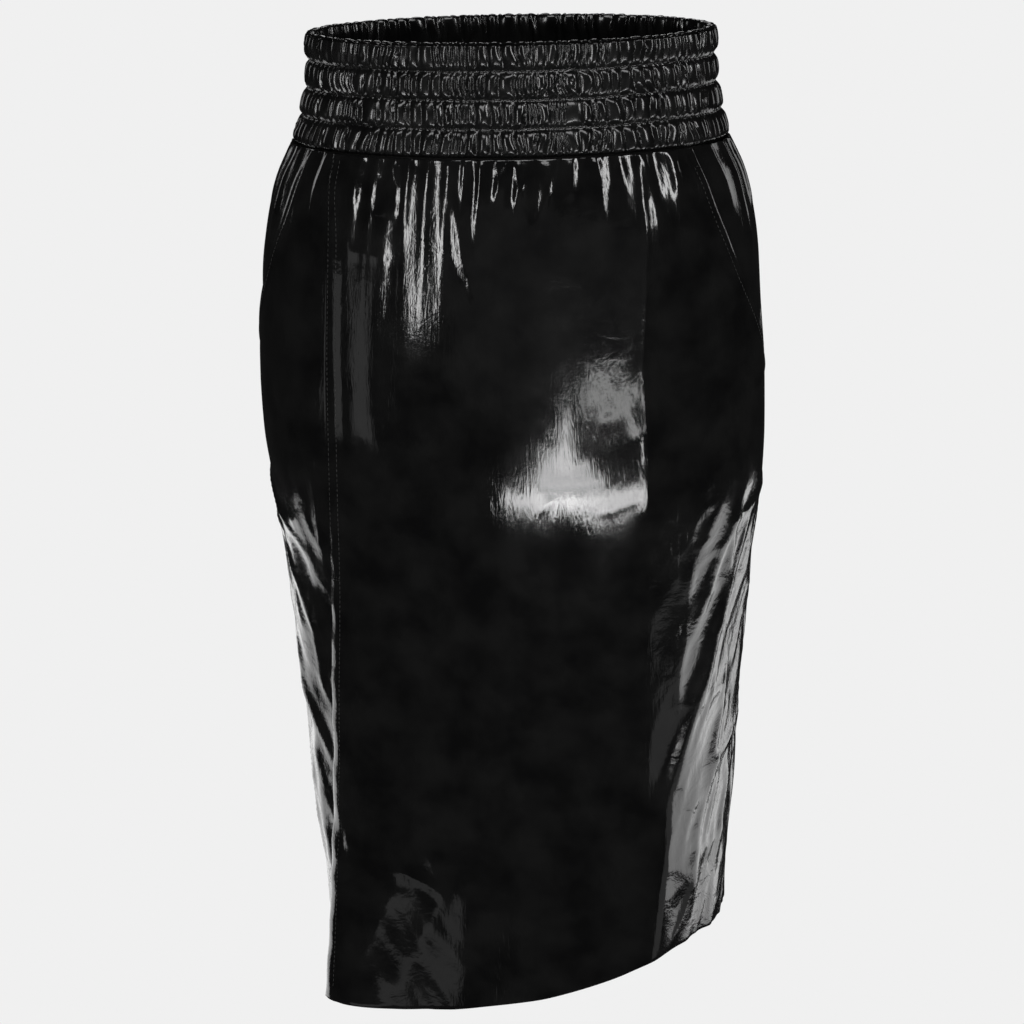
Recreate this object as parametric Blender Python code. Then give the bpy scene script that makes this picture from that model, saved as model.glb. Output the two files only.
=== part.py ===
# Knee-length leather skirt with a shirred elastic waistband, filled out as when it is worn.
# Metres, +Z up. The front faces -Y and the wearer's left is +X. The origin is the centre of
# the waist, at half the height of the waistband, where the body holds the skirt.
# Places on the cloth are given by turn, in degrees round the girth from the centre front
# (plus to the wearer's left), and by drop, in metres below the waistband.
import math

import bmesh
import bpy
import numpy as np
from mathutils import Vector

seamGap = 0.0003
seamTurn = 0.07  # half of a seam's gap, in degrees of turn
leatherWall = 0.0015

# The waistband: rows of shirring, parted by stitched lines and crossed by ribs.
bandHeight = 0.072
bandBottom = -bandHeight / 2
bandRows = 4
bandRibs = 120
bandBacking = 0.003  # elastic and inner leather, behind the stitched lines
rowBulge = 0.0028
rowFullness = 0.6  # less than 1 makes a row fuller near its stitched lines
rimFullness = 0.5  # the rim is folded over and not stitched
ribRise = 0.0011
ribPinch = 0.35  # share of a rib's rise that is left on a stitched line
ribUnevenness = 0.3

# The form of the whole skirt, as sections from the rim to below the hem.
sectionColumns = ("height", "halfWidth", "front", "back", "squareness", "sideways")
sections = (
    (0.036, 0.1365, 0.101, 0.098, 2.00, 0.0005),
    (0.000, 0.1385, 0.102, 0.101, 2.00, 0.0000),
    (-0.036, 0.1475, 0.106, 0.107, 2.00, -0.0015),
    (-0.060, 0.1580, 0.111, 0.117, 2.05, -0.0020),
    (-0.100, 0.1670, 0.115, 0.128, 2.10, -0.0030),
    (-0.150, 0.1715, 0.118, 0.138, 2.10, -0.0045),
    (-0.200, 0.1740, 0.120, 0.142, 2.10, -0.0045),
    (-0.260, 0.1720, 0.122, 0.140, 2.15, -0.0035),
    (-0.330, 0.1635, 0.123, 0.134, 2.25, -0.0030),
    (-0.400, 0.1565, 0.124, 0.129, 2.35, -0.0030),
    (-0.480, 0.1495, 0.126, 0.127, 2.45, -0.0020),
    (-0.560, 0.1440, 0.128, 0.126, 2.50, -0.0015),
    (-0.630, 0.1410, 0.128, 0.126, 2.50, -0.0015),
)
girthLean = 1.16  # spreads equal turns over nearly equal lengths of cloth
girthRadius = 0.14  # mean radius, which turns degrees into lengths of cloth

hemColumns = ("turn", "drop")
hemLine = (
    (-180, 0.574),
    (-120, 0.570),
    (-92, 0.572),
    (-50, 0.590),
    (-20, 0.587),
    (8, 0.575),
    (28, 0.562),
    (50, 0.547),
    (72, 0.550),
    (92, 0.556),
    (130, 0.567),
    (180, 0.574),
)

# The seam beside the front, which is open as a slit below slitTop.
slitTop = 0.28
slitSeamColumns = ("drop", "turn")
slitSeam = (
    (0.000, -51.0),
    (0.060, -46.0),
    (0.160, -45.0),
    (0.280, -46.0),
    (0.396, -49.0),
    (0.450, -50.4),
    (0.510, -50.6),
    (0.590, -48.0),
)
flareStart = 0.40
flareReach = 0.022  # the front's free corner stands this far out at the hem
flareWidth = 28.0
lapTurn = -37.0  # the side front passes behind the front as far as this turn
lapStart = 0.31
lapFull = 0.345
lapSink = 0.003
lapSinkLength = 0.018
lapRamp = 12.0

# The side seams, and the slanted pocket mouth that starts at the band and ends in one.
sideSeam = 92.0
pocketMouthColumns = ("drop", "turn")
pocketMouth = (
    (0.000, 63.5),
    (0.022, 64.5),
    (0.048, 67.0),
    (0.085, 73.5),
    (0.115, 81.5),
    (0.148, 92.0),
)
facingEnd = 0.163
facingLap = 5.0  # the facing passes under the mouth's edge by this turn
facingSink = 0.0023
facingRamp = 12.0

# The gathers below the band: those that show on the front by their places, the others
# by a rule that goes from the left pocket round to the slit seam.
gatherColumns = ("turn", "rise", "length")
frontGathers = (
    (-44.5, 0.0016, 0.045),
    (-39.5, 0.0012, 0.040),
    (-34.0, 0.0018, 0.050),
    (-28.5, 0.0011, 0.030),
    (-23.5, 0.0014, 0.040),
    (-17.5, 0.0022, 0.060),
    (-11.5, 0.0020, 0.055),
    (-6.5, 0.0012, 0.035),
    (-1.5, 0.0016, 0.030),
    (3.5, 0.0011, 0.040),
    (9.0, 0.0018, 0.050),
    (16.5, 0.0014, 0.035),
    (24.0, 0.0010, 0.025),
    (32.0, 0.0016, 0.045),
    (38.5, 0.0011, 0.030),
    (46.5, 0.0021, 0.045),
    (54.5, 0.0015, 0.040),
)
hiddenGathers = 31
hiddenRise = 0.0015
hiddenLength = 0.042
hiddenSway = 1.1
gatherFade = 1.4  # how sharply a gather ends at its length
gatherAtBand = 0.35  # share of a gather's rise where the band holds it down
gatherRelease = 0.008
bandTuck = 0.014  # the cloth swings out from under the band over this drop
mouthCalm = 5.0  # gathers flatten within this many degrees of a pocket's folded edge
mouthCalmShare = 0.85

# The largest folds: each runs straight from its first place to its last, as a soft ridge
# (plus) or trough (minus) of the stated width, and fades out past both ends.
foldColumns = ("turn", "drop", "endTurn", "endDrop", "width", "rise")
folds = (
    (44.5, 0.010, 40.5, 0.260, 0.016, 0.0034),
    (35.0, 0.120, 33.0, 0.250, 0.030, -0.0026),
    (50.0, 0.080, 49.0, 0.300, 0.026, -0.0022),
    (-16.5, 0.000, -20.0, 0.200, 0.016, 0.0022),
    (-9.0, 0.020, -3.0, 0.110, 0.012, 0.0018),
    (-25.0, 0.030, -27.0, 0.230, 0.022, -0.0020),
    (-34.0, 0.070, -35.5, 0.210, 0.024, 0.0018),
    (-3.0, 0.160, 1.0, 0.420, 0.034, -0.0022),
    (62.0, 0.330, 48.0, 0.540, 0.040, 0.0026),
    (74.0, 0.300, 60.0, 0.500, 0.034, -0.0022),
    (-62.0, 0.300, -66.0, 0.480, 0.028, 0.0020),
    (-76.0, 0.230, -72.0, 0.420, 0.030, -0.0020),
    (-128.0, 0.180, -122.0, 0.420, 0.040, 0.0026),
    (-160.0, 0.200, -156.0, 0.480, 0.044, -0.0026),
    (172.0, 0.180, 168.0, 0.440, 0.042, 0.0024),
    (134.0, 0.200, 126.0, 0.440, 0.040, -0.0026),
    (112.0, 0.260, 104.0, 0.500, 0.036, 0.0022),
)
foldFade = 0.2  # share of a fold's length, past each end, over which it fades

# Rows of points down a panel, close at the gathers and wider below. The columns are
# doubled above foldRowCount, and again above gatherRowCount.
rowDrops = (
    seamGap, 0.005, 0.012, 0.023, 0.038, 0.058, 0.082,
    0.106, 0.128, 0.148, 0.188, 0.233, 0.280,
    0.310, 0.345, 0.395, 0.450, 0.515, 0.590,
)
gatherRowCount = 6
foldRowCount = 12
facingRowCount = 9
hemNominal = rowDrops[-1]
frontColumns = 16
sideFrontColumns = 8
backColumns = 22
facingColumns = 14

blackLeather = (0.012, 0.012, 0.012, 1.0)
leatherRoughness = 0.25
sharpAngle = 50.0


def ease(share):
    share = min(max(share, 0.0), 1.0)
    return share * share * (3.0 - 2.0 * share)


def nearFront(turn):
    # the same place, as a turn from -180 to 180
    return (turn + 180.0) % 360.0 - 180.0


def column(table, index):
    return [row[index] for row in table]


def smoothValue(places, values, at):
    # a curve through the table's rows, with no kink at a row
    at = min(max(at, places[0]), places[-1])
    last = len(places) - 2
    k = min(max(int(np.searchsorted(places, at)) - 1, 0), last)

    def slope(i):
        before = max(i - 1, 0)
        after = min(i + 1, last + 1)
        return (values[after] - values[before]) / (places[after] - places[before])

    span = places[k + 1] - places[k]
    t = (at - places[k]) / span
    start = (2 * t**3 - 3 * t**2 + 1) * values[k] + (t**3 - 2 * t**2 + t) * span * slope(k)
    end = (3 * t**2 - 2 * t**3) * values[k + 1] + (t**3 - t**2) * span * slope(k + 1)
    return start + end


sectionDepths = [-height for height in column(sections, 0)]
sectionValues = [column(sections, index) for index in range(1, len(sectionColumns))]
hemTurns = column(hemLine, 0)
hemDrops = column(hemLine, 1)
slitDrops = column(slitSeam, 0)
slitTurns = column(slitSeam, 1)
mouthDrops = column(pocketMouth, 0)
mouthTurns = column(pocketMouth, 1)


def slitTurn(drop):
    return smoothValue(slitDrops, slitTurns, drop)


def mouthTurn(drop):
    return min(smoothValue(mouthDrops, mouthTurns, drop), sideSeam)


def girthPoint(turn, height, outward):
    halfWidth, front, back, squareness, sideways = [
        smoothValue(sectionDepths, values, -height) for values in sectionValues
    ]
    angle = math.radians(turn)
    direction = math.atan2(math.sin(angle) * girthLean, math.cos(angle))
    side = math.sin(direction)
    ahead = math.cos(direction)
    depth = front if ahead > 0 else back
    across = (abs(side) / halfWidth) ** squareness
    along = (abs(ahead) / depth) ** squareness
    reach = (across + along) ** (-1 / squareness) + outward
    return Vector((sideways + reach * side, -reach * ahead, height))


def allGathers():
    rows = list(frontGathers)
    first = frontGathers[-1][0]
    spacing = (360.0 + frontGathers[0][0] - first) / (hiddenGathers + 1)
    for k in range(1, hiddenGathers + 1):
        sway = hiddenSway * (math.sin(2.4 * k) + 0.6 * math.sin(5.1 * k))
        rise = hiddenRise * (1.0 + 0.25 * math.sin(3.7 * k))
        length = hiddenLength * (1.0 + 0.35 * math.sin(1.9 * k))
        rows.append((first + spacing * k + sway, rise, length))
    return rows


gathers = allGathers()
gatherTurns = column(gathers, 0)


def gatherRise(turn, drop):
    # a ridge at each gather, and a trough half way to the next one
    around = (turn - gatherTurns[0]) % 360.0 + gatherTurns[0]
    k = int(np.searchsorted(gatherTurns, around, side="right")) - 1
    following = (k + 1) % len(gathers)
    end = gatherTurns[following] + (360.0 if following == 0 else 0.0)
    share = (around - gatherTurns[k]) / (end - gatherTurns[k])

    def strength(index):
        rise, length = gathers[index][1:]
        return rise * math.exp(-((drop / length) ** gatherFade))

    rise = strength(k) + (strength(following) - strength(k)) * ease(share)
    fromMouth = (abs(nearFront(turn)) - mouthTurn(drop)) / mouthCalm
    calm = 1.0 - mouthCalmShare * math.exp(-fromMouth * fromMouth)
    released = ease(gatherAtBand + drop / gatherRelease)
    return rise * calm * released * math.cos(2 * math.pi * share)


def foldRise(turn, drop):
    total = 0.0
    for startTurn, startDrop, endTurn, endDrop, width, rise in folds:
        along = (drop - startDrop) / (endDrop - startDrop)
        centre = startTurn + (endTurn - startTurn) * along
        across = math.radians(nearFront(turn - centre)) * girthRadius / (width / 2)
        fadeIn = ease((along + foldFade) / (2 * foldFade))
        fadeOut = ease((1.0 + foldFade - along) / (2 * foldFade))
        total += rise * fadeIn * fadeOut * math.exp(-across * across / 2)
    return total


def clothPoint(turn, drop):
    tuck = rowBulge * (1.0 - ease(drop / bandTuck))
    outward = gatherRise(turn, drop) + foldRise(turn, drop) - tuck
    return girthPoint(turn, bandBottom - drop, outward)


def clothNormal(turn, drop):
    turnStep = 0.4
    dropStep = 0.001
    across = clothPoint(turn + turnStep, drop) - clothPoint(turn - turnStep, drop)
    down = clothPoint(turn, drop + dropStep) - clothPoint(turn, max(drop - dropStep, 0.0))
    return down.cross(across).normalized()


def hemmedDrop(turn, drop):
    # rows below the slit's top spread until the last one lies on the hem
    if drop <= slitTop:
        return drop
    hem = smoothValue(hemTurns, hemDrops, nearFront(turn))
    return slitTop + (drop - slitTop) * (hem - slitTop) / (hemNominal - slitTop)


def frontFlare(turn, drop):
    # below the slit's top, the front's free edge swings forward off the side front
    down = max(drop - flareStart, 0.0) / (hemNominal - flareStart)
    inward = (turn - slitTurn(drop)) / flareWidth
    return flareReach * down * down * ease(1.0 - inward)


def sideFrontDip(turn, drop):
    # the side front dips before it passes behind the front
    before = (slitTurn(drop) - turn) / lapRamp
    return -lapSink * ease((drop - slitTop) / lapSinkLength) * ease(1.0 - before)


def facingDip(turn, drop):
    # the facing lies under the mouth's edge, and rises to the panels' level beyond it
    beyond = (abs(turn) - mouthTurn(drop)) / facingRamp
    return -facingSink * ease(1.0 - beyond)


def noLift(turn, drop):
    return 0.0


def frontEdges(drop):
    return slitTurn(drop) + seamTurn, mouthTurn(drop) - seamTurn


def sideFrontEdges(drop):
    seam = slitTurn(drop) - seamTurn
    behind = ease((drop - lapStart) / (lapFull - lapStart))
    return seamTurn - mouthTurn(drop), seam + (lapTurn - seam) * behind


def backEdges(drop):
    return sideSeam + seamTurn, 360.0 - sideSeam - seamTurn


def leftFacingEdges(drop):
    return mouthTurn(drop) - facingLap, sideSeam - seamTurn


def rightFacingEdges(drop):
    return seamTurn - sideSeam, facingLap - mouthTurn(drop)


def addPiece(name, bm):
    mesh = bpy.data.meshes.new(name)
    bm.to_mesh(mesh)
    bm.free()
    mesh.shade_smooth()
    mesh.set_sharp_from_angle(angle=math.radians(sharpAngle))
    material = bpy.data.materials.new(name + "_leather")
    material.use_nodes = True
    shader = material.node_tree.nodes["Principled BSDF"]
    shader.inputs["Base Color"].default_value = blackLeather
    shader.inputs["Roughness"].default_value = leatherRoughness
    shader.inputs["Metallic"].default_value = 0.0
    mesh.materials.append(material)
    piece = bpy.data.objects.new(name, mesh)
    bpy.context.scene.collection.objects.link(piece)
    return piece


def flatBoard(columns, rows, doubledRows):
    # a board one unit wide, long and thick, whose lower side becomes the cloth's inside;
    # its upper rows get twice the columns once for each row count that is listed
    bm = bmesh.new()
    bmesh.ops.create_grid(bm, x_segments=columns, y_segments=rows, size=0.5)
    for rowCount in doubledRows:
        lowest = 0.5 - (rowCount + 0.1) / rows
        crossways = [
            edge
            for edge in bm.edges
            if edge.verts[0].co.y > lowest and math.isclose(edge.verts[0].co.y, edge.verts[1].co.y)
        ]
        bmesh.ops.subdivide_edges(bm, edges=crossways, cuts=1, use_grid_fill=True)
    under = bmesh.ops.extrude_face_region(bm, geom=bm.faces[:], use_keep_orig=True)
    underVerts = [item for item in under["geom"] if isinstance(item, bmesh.types.BMVert)]
    bmesh.ops.translate(bm, verts=underVerts, vec=(0.0, 0.0, -1.0))
    bmesh.ops.recalc_face_normals(bm, faces=bm.faces[:])
    return bm


def makePanel(name, columns, drops, doubledRows, edges, lift):
    # wraps a board on the skirt's form, between the turns of its two edges
    rows = len(drops) - 1
    bm = flatBoard(columns, rows, doubledRows)
    for vert in bm.verts:
        drop = drops[round((0.5 - vert.co.y) * rows)]
        startTurn, endTurn = edges(drop)
        turn = startTurn + (endTurn - startTurn) * (vert.co.x + 0.5)
        fallen = hemmedDrop(turn, drop)
        inward = -vert.co.z * leatherWall
        point = clothPoint(turn, fallen) + clothNormal(turn, fallen) * (lift(turn, drop) - inward)
        point.z = min(point.z, bandBottom - seamGap)
        vert.co = point
    return addPiece(name, bm)


def bandOutward(turn, level):
    # level counts rows down from the rim, and is a whole number on each stitched line
    puff = abs(math.sin(math.pi * level)) ** rowFullness
    if level == 0.0:
        puff = rimFullness
    rib = round(turn / (180.0 / bandRibs))
    unevenness = 1.0 + ribUnevenness * math.sin(1.7 * rib + 2.6 * math.floor(level))
    side = 1.0 if rib % 2 == 0 else -1.0
    rise = ribRise * unevenness * side * (ribPinch + (1.0 - ribPinch) * puff)
    return rowBulge * (puff - 1.0) + rise


def makeBand():
    # a plain ring is turned first, then its outer points are raised into rows and ribs
    outerRadius = 2.0
    innerRadius = 1.0
    levels = [row + part for row in range(bandRows) for part in (0.0, 0.25, 0.75)]
    levels.append(float(bandRows))
    bm = bmesh.new()
    profile = [bm.verts.new((0.0, -outerRadius, -level)) for level in levels]
    profile.append(bm.verts.new((0.0, -innerRadius, -levels[-1])))
    profile.append(bm.verts.new((0.0, -innerRadius, -levels[0])))
    outline = [bm.edges.new((profile[k - 1], profile[k])) for k in range(len(profile))]
    bmesh.ops.spin(
        bm,
        geom=profile + outline,
        cent=(0.0, 0.0, 0.0),
        axis=(0.0, 0.0, 1.0),
        angle=2 * math.pi,
        steps=2 * bandRibs,
        use_merge=True,
        use_duplicate=False,
    )
    bmesh.ops.recalc_face_normals(bm, faces=bm.faces[:])
    for vert in bm.verts:
        turn = math.degrees(math.atan2(vert.co.x, -vert.co.y))
        level = -vert.co.z
        height = bandHeight * (0.5 - level / bandRows)
        outward = -rowBulge - bandBacking
        if math.hypot(vert.co.x, vert.co.y) > (innerRadius + outerRadius) / 2:
            outward = bandOutward(turn, level)
        vert.co = girthPoint(turn, height, outward)
    return addPiece("waistband", bm)


def clearScene():
    for item in list(bpy.data.objects):
        bpy.data.objects.remove(item, do_unlink=True)


def buildSkirt():
    clearScene()
    makeBand()
    doubled = (foldRowCount, gatherRowCount)
    facingDrops = rowDrops[: facingRowCount + 1] + (facingEnd,)
    makePanel("front_panel", frontColumns, rowDrops, doubled, frontEdges, frontFlare)
    makePanel("side_front_panel", sideFrontColumns, rowDrops, (foldRowCount,), sideFrontEdges, sideFrontDip)
    makePanel("back_panel", backColumns, rowDrops, doubled, backEdges, noLift)
    makePanel("left_pocket_facing", facingColumns, facingDrops, (), leftFacingEdges, facingDip)
    makePanel("right_pocket_facing", facingColumns, facingDrops, (), rightFacingEdges, facingDip)


buildSkirt()
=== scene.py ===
import math

import bmesh
import bpy
import numpy as np
from mathutils import Matrix, Vector


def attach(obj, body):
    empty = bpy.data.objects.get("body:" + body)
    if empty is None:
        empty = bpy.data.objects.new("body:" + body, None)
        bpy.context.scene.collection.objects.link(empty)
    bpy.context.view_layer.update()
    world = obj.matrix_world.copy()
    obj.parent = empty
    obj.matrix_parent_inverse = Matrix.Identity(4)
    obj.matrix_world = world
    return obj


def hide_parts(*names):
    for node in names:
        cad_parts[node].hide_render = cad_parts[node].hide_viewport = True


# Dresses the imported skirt: a shirred waistband, panels of glossy black leather with their
# gathers and creases, and the stitching. Metres; the front faces -Y, the wearer's left is +X.
# A place on the cloth is a turn, in degrees round the girth from the centre front, and a
# drop, in metres below the waistband.
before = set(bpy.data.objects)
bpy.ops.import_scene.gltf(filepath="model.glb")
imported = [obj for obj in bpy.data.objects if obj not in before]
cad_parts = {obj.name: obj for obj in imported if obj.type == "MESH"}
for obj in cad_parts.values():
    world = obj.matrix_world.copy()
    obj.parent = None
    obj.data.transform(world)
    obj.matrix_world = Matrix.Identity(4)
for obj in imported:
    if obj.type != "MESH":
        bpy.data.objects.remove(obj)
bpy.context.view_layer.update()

form = {
    "bandHeight": 0.072,
    "rowBulge": 0.0028,  # how far a row of shirring stands out
    "wall": 0.0015,  # leather
    "seamTurn": 0.07,  # half of a seam's gap, in degrees
    "seamGap": 0.0003,
    "girthLean": 1.16,  # spreads the turns so that they pass the sides evenly
    "girthRadius": 0.14,
    "degree": 0.00252,  # mean length of cloth in a degree of turn
    "noiseTall": 0.75,  # soft unevenness is worked out over this height
    "noiseAbove": 0.08,
    "sections": (  # height, halfWidth, front, back, squareness, sideways
        (0.036, 0.1365, 0.101, 0.098, 2.00, 0.0005),
        (0.000, 0.1385, 0.102, 0.101, 2.00, 0.0000),
        (-0.036, 0.1475, 0.106, 0.107, 2.00, -0.0015),
        (-0.060, 0.1580, 0.111, 0.117, 2.05, -0.0020),
        (-0.100, 0.1670, 0.115, 0.128, 2.10, -0.0030),
        (-0.150, 0.1715, 0.118, 0.138, 2.10, -0.0045),
        (-0.200, 0.1740, 0.120, 0.142, 2.10, -0.0045),
        (-0.260, 0.1720, 0.122, 0.140, 2.15, -0.0035),
        (-0.330, 0.1635, 0.123, 0.134, 2.25, -0.0030),
        (-0.400, 0.1565, 0.124, 0.129, 2.35, -0.0030),
        (-0.480, 0.1495, 0.126, 0.127, 2.45, -0.0020),
        (-0.560, 0.1440, 0.128, 0.126, 2.50, -0.0015),
        (-0.630, 0.1410, 0.128, 0.126, 2.50, -0.0015),
    ),
    "hem": (  # turn, drop
        (-180, 0.574), (-120, 0.570), (-92, 0.572), (-50, 0.590), (-20, 0.587), (8, 0.575),
        (28, 0.562), (50, 0.547), (72, 0.550), (92, 0.556), (130, 0.567), (180, 0.574),
    ),
    "hemNominal": 0.590,
    "slitTop": 0.28,
    "slitSeam": (  # drop, turn
        (0.000, -51.0), (0.060, -46.0), (0.160, -45.0), (0.280, -46.0),
        (0.396, -49.0), (0.450, -50.4), (0.510, -50.6), (0.590, -48.0),
    ),
    "pocketMouth": (  # drop, turn
        (0.000, 63.5), (0.022, 64.5), (0.048, 67.0), (0.085, 73.5), (0.115, 81.5), (0.148, 92.0),
    ),
    "sideSeam": 92.0,
}


def ease(share):
    share = np.clip(share, 0.0, 1.0)
    return share * share * (3.0 - 2.0 * share)


def ramp(value, limits):
    # rises from 0 at the first limit to 1 after a further stretch of the second
    start, over = limits
    return ease((value - start) / over)


def nearFront(turn):
    return (turn + 180.0) % 360.0 - 180.0


def smoothCurve(rows, column, at):
    # a curve through a column of a table, with no kink at a row
    places = np.array([row[0] for row in rows])
    values = np.array([row[column] for row in rows])
    slopes = np.empty(len(rows))
    slopes[1:-1] = (values[2:] - values[:-2]) / (places[2:] - places[:-2])
    slopes[0] = (values[1] - values[0]) / (places[1] - places[0])
    slopes[-1] = (values[-1] - values[-2]) / (places[-1] - places[-2])
    at = np.clip(at, places[0], places[-1])
    k = np.clip(np.searchsorted(places, at) - 1, 0, len(rows) - 2)
    span = places[k + 1] - places[k]
    t = (at - places[k]) / span
    start = (2 * t**3 - 3 * t**2 + 1) * values[k] + (t**3 - 2 * t**2 + t) * span * slopes[k]
    end = (3 * t**2 - 2 * t**3) * values[k + 1] + (t**3 - t**2) * span * slopes[k + 1]
    return start + end


sectionRows = [(-row[0],) + row[1:] for row in form["sections"]]


def slitTurn(drop):
    return smoothCurve(form["slitSeam"], 1, drop)


def mouthTurn(drop):
    return np.minimum(smoothCurve(form["pocketMouth"], 1, drop), form["sideSeam"])


def girthPoints(turn, height, outward):
    halfWidth, front, back, squareness, sideways = [
        smoothCurve(sectionRows, column, -height) for column in range(1, 6)
    ]
    angle = np.radians(turn)
    direction = np.arctan2(np.sin(angle) * form["girthLean"], np.cos(angle))
    side = np.sin(direction)
    ahead = np.cos(direction)
    depth = np.where(ahead > 0, front, back)
    across = (np.abs(side) / halfWidth) ** squareness
    along = (np.abs(ahead) / depth) ** squareness
    reach = (across + along) ** (-1 / squareness) + outward
    return np.stack([sideways + reach * side, -reach * ahead, height + 0 * reach], axis=-1)


def softNoise(turn, drop, across, down, seed):
    # smooth unevenness from -1 to 1 in cells of this size, which closes round the girth
    cells = max(3, round(2 * math.pi * form["girthRadius"] / across))
    rows = int(form["noiseTall"] / down) + 3
    grid = np.random.default_rng(seed).uniform(-1.0, 1.0, (rows, cells))
    a = (turn % 360.0) / 360.0 * cells
    d = np.clip((drop + form["noiseAbove"]) / down, 0.0, rows - 1.001)
    i = np.floor(d).astype(int)
    j = np.floor(a).astype(int)
    fd = d - i
    fa = a - j
    fd = fd**3 * (fd * (fd * 6 - 15) + 10)
    fa = fa**3 * (fa * (fa * 6 - 15) + 10)
    j = j % cells
    k = (j + 1) % cells
    above = grid[i, j] * (1 - fa) + grid[i, k] * fa
    below = grid[i + 1, j] * (1 - fa) + grid[i + 1, k] * fa
    return above * (1 - fd) + below * fd


# The gathers of the solid, front ones by their places and hidden ones by a rule.
gathering = {
    "front": (  # turn, rise, length
        (-44.5, 0.0016, 0.045), (-39.5, 0.0012, 0.040), (-34.0, 0.0018, 0.050),
        (-28.5, 0.0011, 0.030), (-23.5, 0.0014, 0.040), (-17.5, 0.0008, 0.060),
        (-11.5, 0.0010, 0.055), (-6.5, 0.0012, 0.035), (-1.5, 0.0016, 0.030),
        (3.5, 0.0011, 0.040), (9.0, 0.0018, 0.050), (16.5, 0.0014, 0.035),
        (24.0, 0.0010, 0.025), (32.0, 0.0016, 0.045), (38.5, 0.0011, 0.030),
        (46.5, 0.0021, 0.045), (54.5, 0.0015, 0.040),
    ),
    "hiddenCount": 31,
    "hiddenRise": 0.0015,
    "hiddenLength": 0.042,
    "hiddenSway": 1.1,
    "swayWave": (2.4, 5.1, 0.6),  # two rates, and the second one's share
    "riseWave": (3.7, 0.25),  # rate and share
    "lengthWave": (1.9, 0.35),
    "fade": 1.4,  # how sharply a gather ends at its length
    "atBand": 0.35,  # share of its rise where the band holds it down
    "release": 0.008,
    "tuck": 0.007,  # the cloth swings out from under the band over this drop
    "tuckDeep": 0.0004,
    "tuckUneven": 0.55,
    "tuckCell": (0.011, 0.5),
    "mouthCalm": 5.0,  # flatter within this many degrees of a pocket mouth
    "calmShare": 0.85,
    "pinch": 0.28,  # makes a ridge narrower than the trough beside it
    "kept": 0.45,  # of the solid's gathers; the creases give the rest
}


def allGathers():
    rows = list(gathering["front"])
    first = rows[-1][0]
    count = gathering["hiddenCount"]
    spacing = (360.0 + rows[0][0] - first) / (count + 1)
    slow, quick, share = gathering["swayWave"]
    riseRate, riseShare = gathering["riseWave"]
    lengthRate, lengthShare = gathering["lengthWave"]
    for k in range(1, count + 1):
        sway = gathering["hiddenSway"] * (math.sin(slow * k) + share * math.sin(quick * k))
        rise = gathering["hiddenRise"] * (1.0 + riseShare * math.sin(riseRate * k))
        length = gathering["hiddenLength"] * (1.0 + lengthShare * math.sin(lengthRate * k))
        rows.append((first + spacing * k + sway, rise, length))
    return np.array(rows)


gathers = allGathers()


def gatherRise(turn, drop):
    # a ridge at each gather, and a trough half way to the next one
    turns = gathers[:, 0]
    around = (turn - turns[0]) % 360.0 + turns[0]
    k = np.searchsorted(turns, around, side="right") - 1
    following = (k + 1) % len(turns)
    end = turns[following] + np.where(following == 0, 360.0, 0.0)
    share = (around - turns[k]) / (end - turns[k])
    down = np.maximum(drop, 0.0)

    def faded(index):
        return gathers[index, 1] * np.exp(-((down / gathers[index, 2]) ** gathering["fade"]))

    before, after = faded(k), faded(following)
    rise = before + (after - before) * ease(share)
    fromMouth = (np.abs(nearFront(turn)) - mouthTurn(drop)) / gathering["mouthCalm"]
    calm = 1.0 - gathering["calmShare"] * np.exp(-fromMouth * fromMouth)
    released = ease(gathering["atBand"] + drop / gathering["release"])
    phase = 2 * np.pi * share
    wave = np.cos(phase) + gathering["pinch"] * np.cos(2 * phase)
    return gathering["kept"] * rise * calm * released * wave


# The largest folds, as in the solid; the gloss shows the front ones calmer.
folds = (  # turn, drop, endTurn, endDrop, width, rise
    (44.5, 0.010, 40.5, 0.260, 0.016, 0.0012),
    (35.0, 0.120, 33.0, 0.250, 0.030, -0.0003),
    (50.0, 0.080, 49.0, 0.300, 0.026, -0.0009),
    (-34.0, 0.070, -35.5, 0.210, 0.024, 0.0003),
    (62.0, 0.330, 48.0, 0.540, 0.040, 0.0022),
    (74.0, 0.300, 60.0, 0.500, 0.034, -0.0018),
    (-62.0, 0.300, -66.0, 0.480, 0.028, 0.0020),
    (-76.0, 0.230, -72.0, 0.420, 0.030, -0.0020),
    (-128.0, 0.180, -122.0, 0.420, 0.040, 0.0026),
    (-160.0, 0.200, -156.0, 0.480, 0.044, -0.0026),
    (172.0, 0.180, 168.0, 0.440, 0.042, 0.0024),
    (134.0, 0.200, 126.0, 0.440, 0.040, -0.0026),
    (112.0, 0.260, 104.0, 0.500, 0.036, 0.0022),
)
foldFade = 0.2  # share of a fold's length, past each end, over which it fades

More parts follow.
